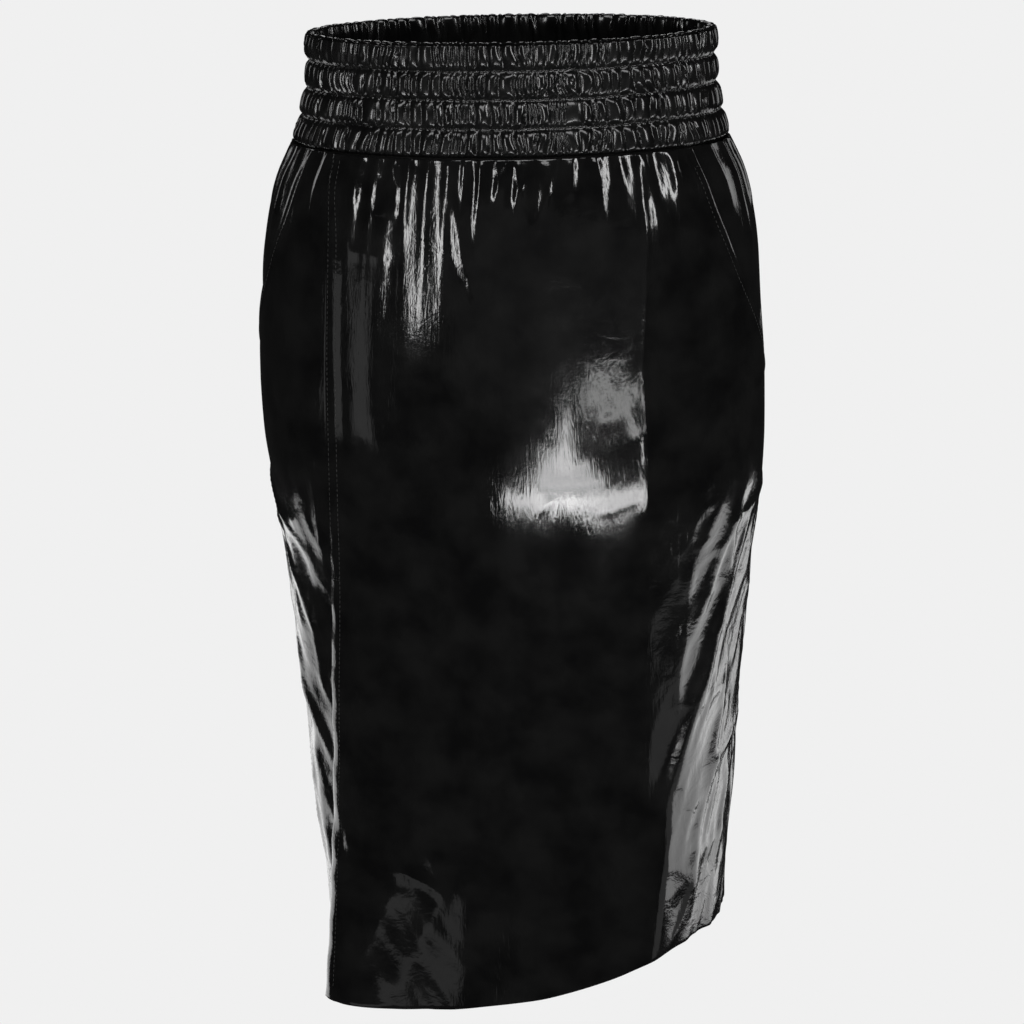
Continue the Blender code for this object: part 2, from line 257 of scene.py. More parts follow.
# Creases of the leather, each from a first place to a last one, as a ridge (plus) or a
# trough (minus). Width, rise and bow are in millimetres. Spread widens a crease towards its
# end, sharp is 2 for a soft one and less for a pinched one, bow bends it sideways and lean
# makes one of its sides steeper. Bow and lean are 0 where a row leaves them out.
creaseRows = (  # turn, drop, endTurn, endDrop, width, spread, rise, sharp, bow, lean
    # short gathers that fan out below the band
    (-44.6, -0.010, -39.9, 0.025, 8.0, 1.0, 1.25, 1.8),
    (-39.6, -0.010, -38.8, 0.028, 8.0, 1.1, 1.20, 1.8),
    (-38.9, 0.025, -39.2, 0.061, 9.0, 1.0, 1.20, 1.8),
    (-34.6, -0.010, -31.9, 0.016, 5.0, 1.0, 0.90, 1.7),
    (-31.5, -0.010, -26.3, 0.018, 5.0, 1.2, 0.90, 1.7),
    (-26.4, 0.017, -26.0, 0.035, 5.0, 1.0, 0.80, 1.7),
    (-26.2, -0.010, -25.1, 0.008, 3.0, 1.0, 0.50, 1.6),
    (-24.7, 0.008, -23.3, -0.010, 3.0, 1.0, 0.50, 1.6),
    (-9.2, -0.010, -10.3, 0.020, 6.0, 1.2, 0.55, 2.0),
    (-10.3, 0.020, -8.2, 0.039, 7.0, 1.2, 0.60, 2.0),
    (-8.2, 0.039, -5.5, 0.064, 9.0, 1.3, 0.75, 2.0),
    (-5.5, 0.064, -2.6, 0.088, 8.0, 0.7, 0.65, 2.0),
    (-4.5, -0.010, -1.8, 0.010, 4.0, 1.0, 0.55, 1.9),
    (-0.3, -0.010, -1.8, 0.010, 4.0, 1.0, 0.55, 1.9),
    (-1.7, 0.009, -2.4, 0.034, 4.5, 1.0, 0.60, 1.9),
    (-2.4, 0.032, -2.7, 0.068, 5.0, 1.1, 0.60, 1.9),
    (8.8, -0.010, 2.5, 0.025, 6.0, 1.0, 1.00, 2.0, 0.0, 0.1),
    (15.2, -0.010, 8.2, 0.027, 6.0, 1.0, 1.10, 2.0, 0.0, 0.1),
    (21.4, -0.010, 13.1, 0.048, 7.0, 1.2, 1.10, 2.0, 0.0, 0.1),
    (26.4, -0.010, 23.4, 0.023, 6.0, 1.0, 0.60, 2.0),
    (29.6, -0.010, 28.1, 0.015, 4.0, 1.2, 0.50, 1.8),
    (34.9, -0.010, 33.6, 0.019, 4.0, 1.0, 0.50, 1.7),
    (39.2, -0.010, 43.0, -0.010, 3.5, 1.0, 0.90, 1.6),
    (45.3, -0.010, 43.1, 0.029, 4.0, 1.0, 0.90, 1.5, -0.6, 0.0),
    (50.2, -0.010, 46.5, 0.031, 12.0, 1.0, -1.70, 2.8),
    (57.2, -0.010, 53.1, 0.029, 7.0, 1.2, 1.00, 1.8),
    # breaks across the cloth under the gathers
    (-33.2, 0.036, -25.7, 0.034, 5.0, 1.0, 0.35, 1.6, 0.6, 0.4),
    (-26.5, 0.035, -30.8, 0.051, 6.0, 1.0, 0.18, 1.7),
    (-30.8, 0.051, -27.2, 0.063, 6.0, 1.0, 0.18, 1.7),
    (-38.0, 0.061, -27.7, 0.065, 8.0, 1.0, 0.40, 2.0, 1.2, 0.3),
    (16.4, 0.074, 26.0, 0.077, 16.0, 1.0, 0.30, 2.0, 1.0, 0.3),
    # the long crease beside the left pocket
    (43.3, 0.034, 42.5, 0.068, 4.0, 0.9, 0.80, 1.4, 0.0, -0.2),
    (42.5, 0.064, 40.7, 0.137, 3.6, 0.9, 0.80, 1.4, 0.8, -0.3),
    (40.7, 0.134, 41.0, 0.190, 4.0, 1.2, 1.10, 1.4, 0.0, -0.3),
    (41.0, 0.188, 39.9, 0.240, 5.0, 1.3, 0.70, 1.5, 0.0, -0.2),
    # a low ridge at the edge of the grey band by the slit
    (-30.5, 0.066, -29.4, 0.183, 12.0, 1.0, 0.12, 2.0),
    # small breaks in the cloth where the front sheen lies
    (30.5, 0.140, 31.9, 0.165, 3.0, 3.0, -0.10, 2.0),
    (36.8, 0.149, 38.9, 0.178, 3.0, 3.0, -0.12, 2.0),
    (13.4, 0.228, 16.5, 0.219, 4.0, 1.0, 0.06, 2.0),
    (28.6, 0.231, 38.6, 0.223, 5.0, 1.0, 0.05, 2.0),
    # a long soft trough, and the creases above the front's lower edge
    (-25.6, 0.050, -28.4, 0.175, 16.0, 1.2, -0.5, 2.0),
    (-21.0, 0.415, -17.2, 0.500, 9.0, 1.3, 0.8, 1.7, 0.0, 0.3),
    (-43.0, 0.476, -28.0, 0.492, 7.0, 1.2, 0.9, 1.6, 1.0, 0.5),
    (-30.0, 0.484, -15.8, 0.500, 7.0, 1.0, 0.9, 1.6, 2.0, 0.5),
    (-16.5, 0.500, -30.0, 0.580, 14.0, 1.6, 1.0, 1.8, 0.0, 0.3),
    (-29.5, 0.500, -37.0, 0.546, 8.0, 1.2, 0.8, 1.7),
    (-37.0, 0.544, -41.5, 0.592, 8.0, 1.3, 0.9, 1.7),
    (-2.0, 0.500, -6.0, 0.590, 20.0, 1.4, -1.0, 2.0),
    (12.0, 0.480, 9.0, 0.580, 22.0, 1.2, 0.9, 2.0),
    # the crumpled side below the left pocket, slanting towards the front hem
    (92.0, 0.232, 69.0, 0.250, 8.0, 1.2, 1.5, 1.6, 2.0, 0.4),
    (69.5, 0.246, 66.0, 0.310, 9.0, 1.2, 1.9, 1.6, 1.0, -0.4),
    (66.0, 0.306, 56.0, 0.368, 10.0, 1.3, 2.1, 1.6, -1.0, -0.3),
    (56.0, 0.364, 45.5, 0.438, 12.0, 1.2, 2.0, 1.7, 0.0, -0.3),
    (45.5, 0.434, 38.6, 0.580, 14.0, 1.4, 1.7, 1.8, 1.0, -0.3),
    (53.0, 0.240, 52.6, 0.290, 5.0, 1.4, 0.6, 1.5),
    (48.2, 0.232, 48.0, 0.286, 4.6, 1.2, 0.8, 1.5),
    (53.2, 0.282, 50.8, 0.315, 6.0, 1.2, 1.0, 1.5),
    (50.8, 0.310, 48.0, 0.372, 8.0, 1.2, 1.3, 1.6),
    (61.0, 0.328, 57.0, 0.372, 8.0, 1.2, 1.1, 1.6),
    (53.5, 0.263, 59.5, 0.258, 3.6, 1.0, 0.5, 1.5),
    (55.5, 0.273, 64.5, 0.264, 3.6, 1.0, 0.6, 1.5),
    (88.0, 0.296, 76.0, 0.360, 9.0, 1.3, 1.6, 1.6, 2.0, 0.3),
    (96.0, 0.330, 80.0, 0.420, 10.0, 1.3, 1.8, 1.7, 2.0, 0.3),
    (88.0, 0.400, 66.0, 0.424, 8.0, 1.0, 1.4, 1.6, 1.5, 0.4),
    (66.0, 0.420, 57.0, 0.470, 10.0, 1.3, 1.8, 1.6, 0.0, -0.3),
    (57.0, 0.466, 49.0, 0.580, 12.0, 1.5, 1.7, 1.8, 0.0, -0.3),
    (77.0, 0.430, 66.0, 0.520, 12.0, 1.2, 1.7, 1.7, 0.0, 0.2),
    (66.0, 0.516, 62.0, 0.580, 12.0, 1.3, 1.3, 1.8),
    (97.0, 0.440, 88.0, 0.545, 14.0, 1.2, 1.8, 1.8, 0.0, 0.2),
    (84.0, 0.500, 76.0, 0.570, 10.0, 1.3, 1.3, 1.7),
    (104.0, 0.150, 98.0, 0.200, 8.0, 1.2, 1.0, 1.6),
    (91.0, 0.150, 78.0, 0.165, 6.0, 1.2, 1.1, 1.5, 1.5, 0.4),
    # the crumpled side front, slanting down to the slit
    (-49.6, 0.145, -50.0, 0.215, 8.0, 1.2, 1.2, 1.7),
    (-50.4, 0.205, -48.4, 0.262, 8.0, 1.0, 1.4, 1.6),
    (-60.0, 0.110, -58.0, 0.240, 16.0, 1.2, 1.0, 2.0),
    (-91.0, 0.226, -56.0, 0.272, 7.0, 1.0, 1.7, 1.6, 2.0, 0.5),
    (-92.0, 0.256, -60.0, 0.302, 8.0, 1.0, 1.6, 1.6, 3.0, 0.4),
    (-60.0, 0.300, -53.0, 0.330, 8.0, 1.0, 1.3, 1.6, 0.0, 0.3),
    (-96.0, 0.290, -66.0, 0.352, 9.0, 1.0, 1.7, 1.6, 3.0, 0.4),
    (-66.0, 0.348, -58.0, 0.410, 9.0, 1.2, 1.4, 1.7, 0.0, 0.3),
    (-55.4, 0.300, -52.4, 0.372, 6.0, 1.2, 1.2, 1.6),
    (-95.0, 0.350, -78.0, 0.430, 10.0, 1.2, 1.7, 1.7, 2.0, 0.3),
    (-60.0, 0.404, -56.0, 0.520, 9.0, 1.5, 1.3, 1.8),
    (-78.0, 0.425, -68.0, 0.560, 12.0, 1.2, 1.6, 1.8, 0.0, 0.2),
    (-92.0, 0.440, -86.0, 0.560, 12.0, 1.2, 1.4, 1.8),
    (-99.0, 0.170, -88.0, 0.182, 6.0, 1.0, 1.1, 1.5, 1.0, 0.4),
    (-86.0, 0.150, -99.0, 0.172, 6.0, 1.0, 0.9, 1.6, 1.0, 0.4),
    # the hip pieces and the gathers at both sides
    (71.0, -0.01, 73.0, 0.040, 5.0, 1.5, 1.3, 1.6),
    (78.0, -0.01, 80.5, 0.075, 6.0, 1.4, 1.6, 1.6),
    (86.0, -0.01, 88.0, 0.045, 5.0, 1.5, 1.2, 1.6),
    (-62.0, -0.01, -60.0, 0.016, 4.0, 1.4, 0.8, 1.6),
    (-71.0, -0.01, -74.0, 0.060, 5.0, 1.5, 1.5, 1.6),
    (-80.0, -0.01, -82.0, 0.040, 5.0, 1.4, 1.2, 1.6),
    (-88.0, -0.01, -89.0, 0.055, 5.0, 1.4, 1.3, 1.6),
)
creases = [row if len(row) == 10 else row + (0.0, 0.0) for row in creaseRows]
creaseFade = 0.16  # share of a crease's length, past each end, over which it fades
creaseRunOut = 0.010  # and at least this many metres for each millimetre of rise
creaseReach = 4.0  # a crease is worked out this many of its widths to each side
creaseBow = 4.0  # turns a bow into the height of an arch
millimetre = 0.001

relief = {
    "puckerPitch": 3.1,  # degrees between the small puckers at the band
    "puckerRise": 0.0003,
    "puckerLength": 0.008,
    "puckerUneven": 0.7,
    "puckerCell": (0.03, 0.5),
    "puckerRound": 0.8,
    "puckerLevel": 0.6,
    "settleDrop": 0.05,  # the slow unevenness starts over this drop
    "evenShare": 0.3,  # of it on the front
    "evenTurns": (30.0, 30.0),  # the turn where the rest starts, and over how many degrees
    "broad": (0.055, 0.080, 0.0003),  # cell across, cell down, rise
    "middle": (0.020, 0.034, 0.00010),
    "small": (0.0085, 0.013, 0.00006),
    "crumple": (0.021, 0.060, 0.0015),
    "crumpleFiner": 0.35,  # share of wrinkles of half the size
    "crumpleLevel": 0.6,
    "crumpleSlant": 190.0,  # degrees for each metre down
    "crumpleTurns": (38.0, 16.0),
    "crumpleDrops": (0.19, 0.09),
    "cornerTurn": -25.0,  # the front's lower corner by the slit is crumpled too
    "cornerWide": 12.0,
    "cornerDrops": (0.46, 0.06),
    "cornerShare": 0.5,
    "topDull": 0.30,  # the gathers are a little duller than the cloth below them
    "topDullDrops": (0.05, 0.13),
}

# The back repeats the front's creases up to this turn, spread and moved. Each of the others
# is a size and the rate at which it comes and goes from crease to crease.
backCreases = {
    "reach": 66.0,
    "stretch": 1.12,
    "sway": (5.0, 2.1),
    "twist": (3.0, 4.4),
    "lower": (0.012, 3.3),
    "longer": (0.25, 1.3),
    "deeper": (0.3, 5.7),
}


def hiddenCreases():
    def vary(name, k):
        size, rate = backCreases[name]
        return size * math.sin(rate * k)

    rows = []
    for k, row in enumerate(creases):
        turn, drop, endTurn, endDrop, width, spread, rise, sharp, bow, lean = row
        if max(abs(turn), abs(endTurn)) > backCreases["reach"]:
            continue
        sway = vary("sway", k)
        lower = vary("lower", k) if drop > 0.0 else 0.0
        start = 180.0 + backCreases["stretch"] * turn + sway
        end = 180.0 + backCreases["stretch"] * endTurn + sway + vary("twist", k)
        endDrop = drop + (endDrop - drop) * (1.0 + vary("longer", k))
        rise *= 1.0 + vary("deeper", k)
        place = (start, drop + lower, end, endDrop + lower)
        rows.append(place + (width, spread, rise, sharp, -bow, lean))
    return rows


allCreases = list(creases) + hiddenCreases()


def foldRise(turn, drop):
    total = np.zeros_like(turn)
    for startTurn, startDrop, endTurn, endDrop, width, rise in folds:
        along = (drop - startDrop) / (endDrop - startDrop)
        centre = startTurn + (endTurn - startTurn) * along
        across = np.radians(nearFront(turn - centre)) * form["girthRadius"] / (width / 2)
        fadeIn = ease((along + foldFade) / (2 * foldFade))
        fadeOut = ease((1.0 + foldFade - along) / (2 * foldFade))
        total += rise * fadeIn * fadeOut * np.exp(-across * across / 2)
    return total


def creaseRise(turn, drop):
    total = np.zeros_like(turn)
    for startTurn, startDrop, endTurn, endDrop, width, spread, rise, sharp, bow, lean in allCreases:
        dx = (endTurn - startTurn) * form["degree"]
        dy = endDrop - startDrop
        length = math.hypot(dx, dy)
        x = nearFront(turn - startTurn) * form["degree"]
        y = drop - startDrop
        along = (x * dx + y * dy) / length**2
        run = max(creaseFade, creaseRunOut * abs(rise) / length)
        near = (along > -run) & (along < 1.0 + run)
        side = (x * dy - y * dx) / length
        reach = creaseReach * millimetre * width * max(1.0, spread) + millimetre * abs(bow)
        near &= np.abs(side) < reach
        if not near.any():
            continue
        t = along[near]
        offset = side[near] - creaseBow * millimetre * bow * t * (1.0 - t)
        wide = millimetre / 2 * width * (1.0 + (spread - 1.0) * np.clip(t, 0.0, 1.0))
        u = offset / wide
        fade = ease((t + run) / (2 * run)) * ease((1.0 + run - t) / (2 * run))
        body = np.exp(-np.abs(u) ** sharp) * (1.0 + lean * np.tanh(u))
        total[near] += millimetre * rise * fade * body
    return total


def crumpleShare(turn, drop):
    # how crumpled the leather is: most at the sides, from the hips down
    side = ramp(np.abs(nearFront(turn)), relief["crumpleTurns"])
    down = ramp(drop, relief["crumpleDrops"])
    beside = (nearFront(turn) - relief["cornerTurn"]) / relief["cornerWide"]
    corner = np.exp(-(beside**2)) * ramp(drop, relief["cornerDrops"])
    return np.maximum(side * down, relief["cornerShare"] * corner)


def dullShare(turn, drop):
    # where the leather is duller: its crumpled parts, and a little under the band
    top = 1.0 - ramp(drop, relief["topDullDrops"])
    return np.maximum(crumpleShare(turn, drop), relief["topDull"] * top)


def clothRise(turn, drop):
    # how far the cloth stands out from the skirt's plain form
    uneven = softNoise(turn, 0.0 * drop, *gathering["tuckCell"], seed=12)
    tucked = gathering["tuck"] * (1.0 + gathering["tuckUneven"] * uneven)
    tuck = gathering["tuckDeep"] * (1.0 - ease(drop / tucked))
    rise = gatherRise(turn, drop) + foldRise(turn, drop) + creaseRise(turn, drop) - tuck
    uneven = softNoise(turn, drop, *relief["puckerCell"], seed=11)
    phase = 2 * np.pi * (turn / relief["puckerPitch"] + relief["puckerUneven"] * uneven)
    pucker = np.abs(np.cos(phase)) ** relief["puckerRound"] - relief["puckerLevel"]
    fade = np.exp(-np.maximum(drop, 0.0) / relief["puckerLength"])
    rise += relief["puckerRise"] * pucker * fade
    settled = ease(drop / relief["settleDrop"])
    aside = ramp(np.abs(nearFront(turn)), relief["evenTurns"])
    uneven = relief["evenShare"] + (1.0 - relief["evenShare"]) * aside
    for seed, name in enumerate(("broad", "middle", "small"), 21):
        across, down, height = relief[name]
        rise += height * settled * uneven * softNoise(turn, drop, across, down, seed)
    across, down, height = relief["crumple"]
    slanted = turn + drop * relief["crumpleSlant"] * np.sign(nearFront(turn))
    wrinkle = 1.0 - 2.0 * np.abs(softNoise(slanted, drop, across, down, seed=31))
    finer = 1.0 - 2.0 * np.abs(softNoise(slanted, drop, across / 2, down / 2, seed=32))
    crushed = wrinkle + relief["crumpleFiner"] * finer - relief["crumpleLevel"]
    rise += height * crumpleShare(turn, drop) * crushed
    return rise


# The seams: the front's fold lies on the side front, with two rows of topstitching, and
# each pocket mouth is a folded edge with one.
seams = {
    "foldWide": 0.0105,  # the turned edge under the topstitching
    "foldRise": 0.0009,
    "foldStep": 0.002,
    "foldStepWide": 0.003,
    "edgeRoll": 0.9,  # share of that rise that the very edge loses
    "edgeRollWide": 0.0012,
    "slitRows": (0.0020, 0.0084),  # distances of the topstitching from the edge
    "mouthRow": 0.0068,
    "mouthEnd": 0.01,  # the mouth's folded edge runs into the side seam over this drop
    "rowDip": 0.00035,
    "rowWide": 0.0010,
    "flareStart": 0.40,
    "flareReach": 0.022,
    "flareWidth": 28.0,
    "lapTurn": -37.0,
    "lapStart": 0.31,
    "lapFull": 0.345,
    "lapSink": 0.003,
    "lapSinkLength": 0.018,
    "lapRamp": 12.0,
    "underSink": 0.0008,  # above the slit the side front passes under the front's edge
    "underWide": 0.004,
    "facingEnd": 0.163,
    "facingLap": 5.0,
    "facingSink": 0.0023,
    "facingRamp": 12.0,
    "hemTurned": 0.018,
    "hemStep": 0.002,
    "turnedWall": 0.0010,
    "sideGroove": 0.0005,
    "sideGrooveWide": 0.0010,
}


def hemmedDrop(turn, drop):
    hem = smoothCurve(form["hem"], 1, nearFront(turn))
    top = form["slitTop"]
    lower = top + (drop - top) * (hem - top) / (form["hemNominal"] - top)
    return np.where(drop <= top, drop, lower)


def foldedEdge(distance, rows):
    # a turned edge this far away stands a little proud, and its stitching sinks in
    past = (distance - seams["foldWide"] + seams["foldStep"]) / seams["foldStepWide"]
    rise = seams["foldRise"] * (1.0 - ease(past))
    rolled = np.exp(-distance / seams["edgeRollWide"])
    rise = rise - seams["edgeRoll"] * seams["foldRise"] * rolled
    for row in rows:
        rise = rise - seams["rowDip"] * np.exp(-(((distance - row) / seams["rowWide"]) ** 2))
    return rise


def sideGroove(turn):
    distance = np.abs(np.abs(nearFront(turn)) - form["sideSeam"]) * form["degree"]
    return -seams["sideGroove"] * np.exp(-distance / seams["sideGrooveWide"])


def withSideEdge(lift, turn, drop, fromMouth):
    # adds a pocket mouth's folded edge, and the side seam's groove below it
    pocket = ease((form["pocketMouth"][-1][0] - drop) / seams["mouthEnd"])
    mouth = np.maximum(fromMouth, 0.0) * form["degree"]
    lift = lift + pocket * foldedEdge(mouth, (seams["mouthRow"],))
    return lift + (1.0 - pocket) * sideGroove(turn)


def frontLift(turn, drop):
    start = seams["flareStart"]
    down = np.maximum(drop - start, 0.0) / (form["hemNominal"] - start)
    inward = (turn - slitTurn(drop)) / seams["flareWidth"]
    flare = seams["flareReach"] * down * down * ease(1.0 - inward)
    slit = np.maximum(turn - slitTurn(drop), 0.0) * form["degree"]
    lift = flare + foldedEdge(slit, seams["slitRows"])
    return withSideEdge(lift, turn, drop, mouthTurn(drop) - turn)


def sideFrontLift(turn, drop):
    before = (slitTurn(drop) - turn) / seams["lapRamp"]
    opened = ease((drop - form["slitTop"]) / seams["lapSinkLength"])
    sink = -seams["lapSink"] * opened * ease(1.0 - before)
    edge = np.maximum(slitTurn(drop) - turn, 0.0) * form["degree"]
    under = -seams["underSink"] * np.exp(-((edge / seams["underWide"]) ** 2)) * (1.0 - opened)
    return withSideEdge(sink + under, turn, drop, turn + mouthTurn(drop))


def facingLift(turn, drop):
    beyond = (np.abs(turn) - mouthTurn(drop)) / seams["facingRamp"]
    return -seams["facingSink"] * ease(1.0 - beyond) + sideGroove(turn)


def backLift(turn, drop):
    return sideGroove(turn)


def panelSurface(turn, drop, lift):
    fallen = hemmedDrop(turn, drop)
    height = -form["bandHeight"] / 2 - fallen
    return girthPoints(turn, height, clothRise(turn, fallen) + lift(turn, drop))


def frontEdges(drop):
    return slitTurn(drop) + form["seamTurn"], mouthTurn(drop) - form["seamTurn"]


def sideFrontEdges(drop):
    seam = slitTurn(drop) - form["seamTurn"]
    behind = ease((drop - seams["lapStart"]) / (seams["lapFull"] - seams["lapStart"]))
    return form["seamTurn"] - mouthTurn(drop), seam + (seams["lapTurn"] - seam) * behind


def backEdges(drop):
    near = form["sideSeam"] + form["seamTurn"] + 0.0 * drop
    return near, 360.0 - near


def leftFacingEdges(drop):
    return mouthTurn(drop) - seams["facingLap"], form["sideSeam"] - form["seamTurn"] + 0.0 * drop


def rightFacingEdges(drop):
    start, end = leftFacingEdges(drop)
    return -end, -start


# Materials. Their patterns are in metres along the leather, through each piece's UV map.
leather = {
    "dark": (0.0035, 0.0035, 0.0036, 1.0),
    "light": (0.0080, 0.0080, 0.0079, 1.0),
    "roughness": (0.05, 0.08),
    "coat": 0.5,
    "coatRoughness": 0.02,
    "stretch": (1.0, 0.22, 1.0),  # of the wrinkles, which run down the skirt
    "clouds": (30.0, 3.0, 0.55, 0.0),  # scale, detail, roughness and distortion
    "wrinkles": (190.0, 3.0, 0.6, 0.8),
    "fibres": (420.0, 2.0, 0.55, 1.2),
    "crumples": (75.0, 4.0, 0.6, 0.6),
    "fibreStretch": (1.0, 0.12, 1.0),
    "fibreLean": (0.0, 0.0, 0.08),
    "dullClouds": (0.32, 0.68),
    "darkClouds": (0.35, 0.65),
    "grainScale": 1500.0,
    "grainDepth": 0.000006,
    "grainShare": 0.5,
    "wrinkleDepth": 0.00009,
    "smoothShare": 0.5,  # of the wrinkles where the leather isn't crumpled
    "fibreDepth": 0.00005,
    "crumpleDepth": 0.0006,
    "crumpledMatt": 0.13,  # added roughness where the leather is crumpled
}
smoothLeather = dict(
    leather, roughness=(0.16, 0.24), coatRoughness=0.08, wrinkleDepth=0.00002,
    fibreDepth=0.00002, stretch=(1.0, 0.6, 1.0),
)
fleshSideValues = {
    "place": "UV",
    "scale": 420.0,
    "detail": 5.0,
    "dark": (0.008, 0.008, 0.008, 1.0),
    "light": (0.020, 0.019, 0.018, 1.0),
    "depth": 0.0003,
    "strength": 0.6,
    "roughness": (0.75, 0.9),
}
threadValues = {
    "place": "Object",
    "scale": 2500.0,
    "detail": 2.0,
    "dark": (0.012, 0.012, 0.012, 1.0),
    "light": (0.045, 0.045, 0.043, 1.0),
    "depth": 0.0001,
    "strength": 0.8,
    "roughness": (0.4, 0.6),
}


def newMaterial(name):
    material = bpy.data.materials.new(name)
    material.use_nodes = True
    nodes = material.node_tree.nodes
    return material, nodes, material.node_tree.links, nodes["Principled BSDF"]


def addNode(nodes, kind, **settings):
    node = nodes.new(kind)
    for name, value in settings.items():
        if hasattr(node, name):
            setattr(node, name, value)
        else:
            node.inputs[name.replace("_", " ")].default_value = value
    return node


def mapRange(nodes, links, source, fromLow, fromHigh, toLow, toHigh):
    node = addNode(nodes, "ShaderNodeMapRange", clamp=True)
    node.inputs["From Min"].default_value = fromLow
    node.inputs["From Max"].default_value = fromHigh
    node.inputs["To Min"].default_value = toLow
    node.inputs["To Max"].default_value = toHigh
    links.new(source, node.inputs["Value"])
    return node.outputs["Result"]


def mathNode(nodes, links, operation, first, second):
    node = addNode(nodes, "ShaderNodeMath", operation=operation)
    for socket, value in zip(node.inputs, (first, second)):
        if isinstance(value, (int, float)):
            socket.default_value = value
        else:
            links.new(value, socket)
    return node.outputs["Value"]


def bumpNode(nodes, links, height, distance, strength=1.0, normal=None):
    node = addNode(nodes, "ShaderNodeBump")
    node.inputs["Distance"].default_value = distance
    if isinstance(strength, (int, float)):
        node.inputs["Strength"].default_value = strength
    else:
        links.new(strength, node.inputs["Strength"])
    links.new(height, node.inputs["Height"])
    if normal is not None:
        links.new(normal, node.inputs["Normal"])
    return node.outputs["Normal"]


def toneNode(nodes, links, factor, values):
    node = addNode(nodes, "ShaderNodeMix", data_type="RGBA")
    node.inputs["A"].default_value = values["dark"]
    node.inputs["B"].default_value = values["light"]
    links.new(factor, node.inputs["Factor"])
    return node.outputs["Result"]


def mappingNode(nodes, links, place, scale, rotation=(0.0, 0.0, 0.0)):
    node = addNode(nodes, "ShaderNodeMapping", Scale=scale, Rotation=rotation)
    links.new(place, node.inputs["Vector"])
    return node.outputs["Vector"]


def makeLeather(name, values):
    # glossy leather: fine grain, wrinkles and fibres, and coarser where it is crumpled
    material, nodes, links, shader = newMaterial(name)
    place = addNode(nodes, "ShaderNodeTexCoord").outputs["UV"]
    along = mappingNode(nodes, links, place, values["stretch"])
    streaked = mappingNode(nodes, links, place, values["fibreStretch"], values["fibreLean"])

    def noise(pattern, vector):
        node = addNode(nodes, "ShaderNodeTexNoise")
        for socket, value in zip(("Scale", "Detail", "Roughness", "Distortion"), values[pattern]):
            node.inputs[socket].default_value = value
        links.new(vector, node.inputs["Vector"])
        return node.outputs["Fac"]

    clouds = noise("clouds", place)
    grain = addNode(nodes, "ShaderNodeTexVoronoi", feature="F1", Scale=values["grainScale"])
    links.new(place, grain.inputs["Vector"])
    crumple = addNode(nodes, "ShaderNodeAttribute", attribute_name="crumple").outputs["Fac"]
    share = mathNode(nodes, links, "MULTIPLY", crumple, 1.0 - values["smoothShare"])
    rumpled = mathNode(nodes, links, "ADD", share, values["smoothShare"])

    distance = grain.outputs["Distance"]
    normal = bumpNode(nodes, links, distance, values["grainDepth"], values["grainShare"])
    for pattern, vector, depth, strength in (
        ("crumples", place, "crumpleDepth", crumple),
        ("wrinkles", along, "wrinkleDepth", rumpled),
        ("fibres", streaked, "fibreDepth", 1.0),
    ):
        normal = bumpNode(nodes, links, noise(pattern, vector), values[depth], strength, normal)
    links.new(normal, shader.inputs["Normal"])
    links.new(normal, shader.inputs["Coat Normal"])

    matt = mapRange(nodes, links, clouds, *values["dullClouds"], *values["roughness"])
    dulled = mathNode(nodes, links, "MULTIPLY", crumple, values["crumpledMatt"])
    roughness = mathNode(nodes, links, "ADD", matt, dulled)
    links.new(roughness, shader.inputs["Roughness"])
    roughness = mathNode(nodes, links, "ADD", dulled, values["coatRoughness"])
    links.new(roughness, shader.inputs["Coat Roughness"])
    factor = mapRange(nodes, links, clouds, *values["darkClouds"], 0.0, 1.0)
    links.new(toneNode(nodes, links, factor, values), shader.inputs["Base Color"])
    shader.inputs["Metallic"].default_value = 0.0
    shader.inputs["IOR"].default_value = 1.5
    shader.inputs["Coat Weight"].default_value = values["coat"]
    return material


def makeMatt(name, values):
    # one noise gives its tone, bump and roughness
    material, nodes, links, shader = newMaterial(name)
    place = addNode(nodes, "ShaderNodeTexCoord").outputs[values["place"]]
    noise = addNode(nodes, "ShaderNodeTexNoise", Scale=values["scale"], Detail=values["detail"])
    links.new(place, noise.inputs["Vector"])
    fibres = noise.outputs["Fac"]
    links.new(toneNode(nodes, links, fibres, values), shader.inputs["Base Color"])
    normal = bumpNode(nodes, links, fibres, values["depth"], values["strength"])
    links.new(normal, shader.inputs["Normal"])
    roughness = mapRange(nodes, links, fibres, 0.3, 0.7, *values["roughness"])
    links.new(roughness, shader.inputs["Roughness"])
    return material


panelLeather = makeLeather("panelLeather", leather)
bandLeather = makeLeather("bandLeather", smoothLeather)
fleshSide = makeMatt("fleshSide", fleshSideValues)
blackThread = makeMatt("blackThread", threadValues)


def finishPiece(name, mesh, materials, node=None):
    for material in materials:
        mesh.materials.append(material)
    mesh.shade_smooth()
    piece = bpy.data.objects.new(name, mesh)
    bpy.context.scene.collection.objects.link(piece)
    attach(piece, "root")
    if node:
        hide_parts(node)
    return piece


def coordinates(mesh):
    values = np.empty(len(mesh.vertices) * 3)
    mesh.vertices.foreach_get("co", values)
    return values.reshape(-1, 3)


def setUv(mesh, places):
    corners = np.empty(len(mesh.loops), dtype=np.int32)
    mesh.loops.foreach_get("vertex_index", corners)
    layer = mesh.uv_layers.new(name="cut")
    layer.data.foreach_set("uv", places[corners].astype(np.float32).ravel())


def setCrumple(mesh, share):
    layer = mesh.attributes.new("crumple", "FLOAT", "POINT")
    layer.data.foreach_set("value", share.astype(np.float32))


cutting = {
    "top": 0.0003,  # drops of a panel's first and last rows
    "bottom": 0.590,
    "crowded": 0.45,  # closer rows at the top by this share
    "edgeRound": 0.0006,
    "sewnRound": 0.15,  # share of that rounding on an edge inside a side seam
    "sewn": ((-1, 1.0), (1, 1.0)),  # sides in a side seam, and how far up the board
}


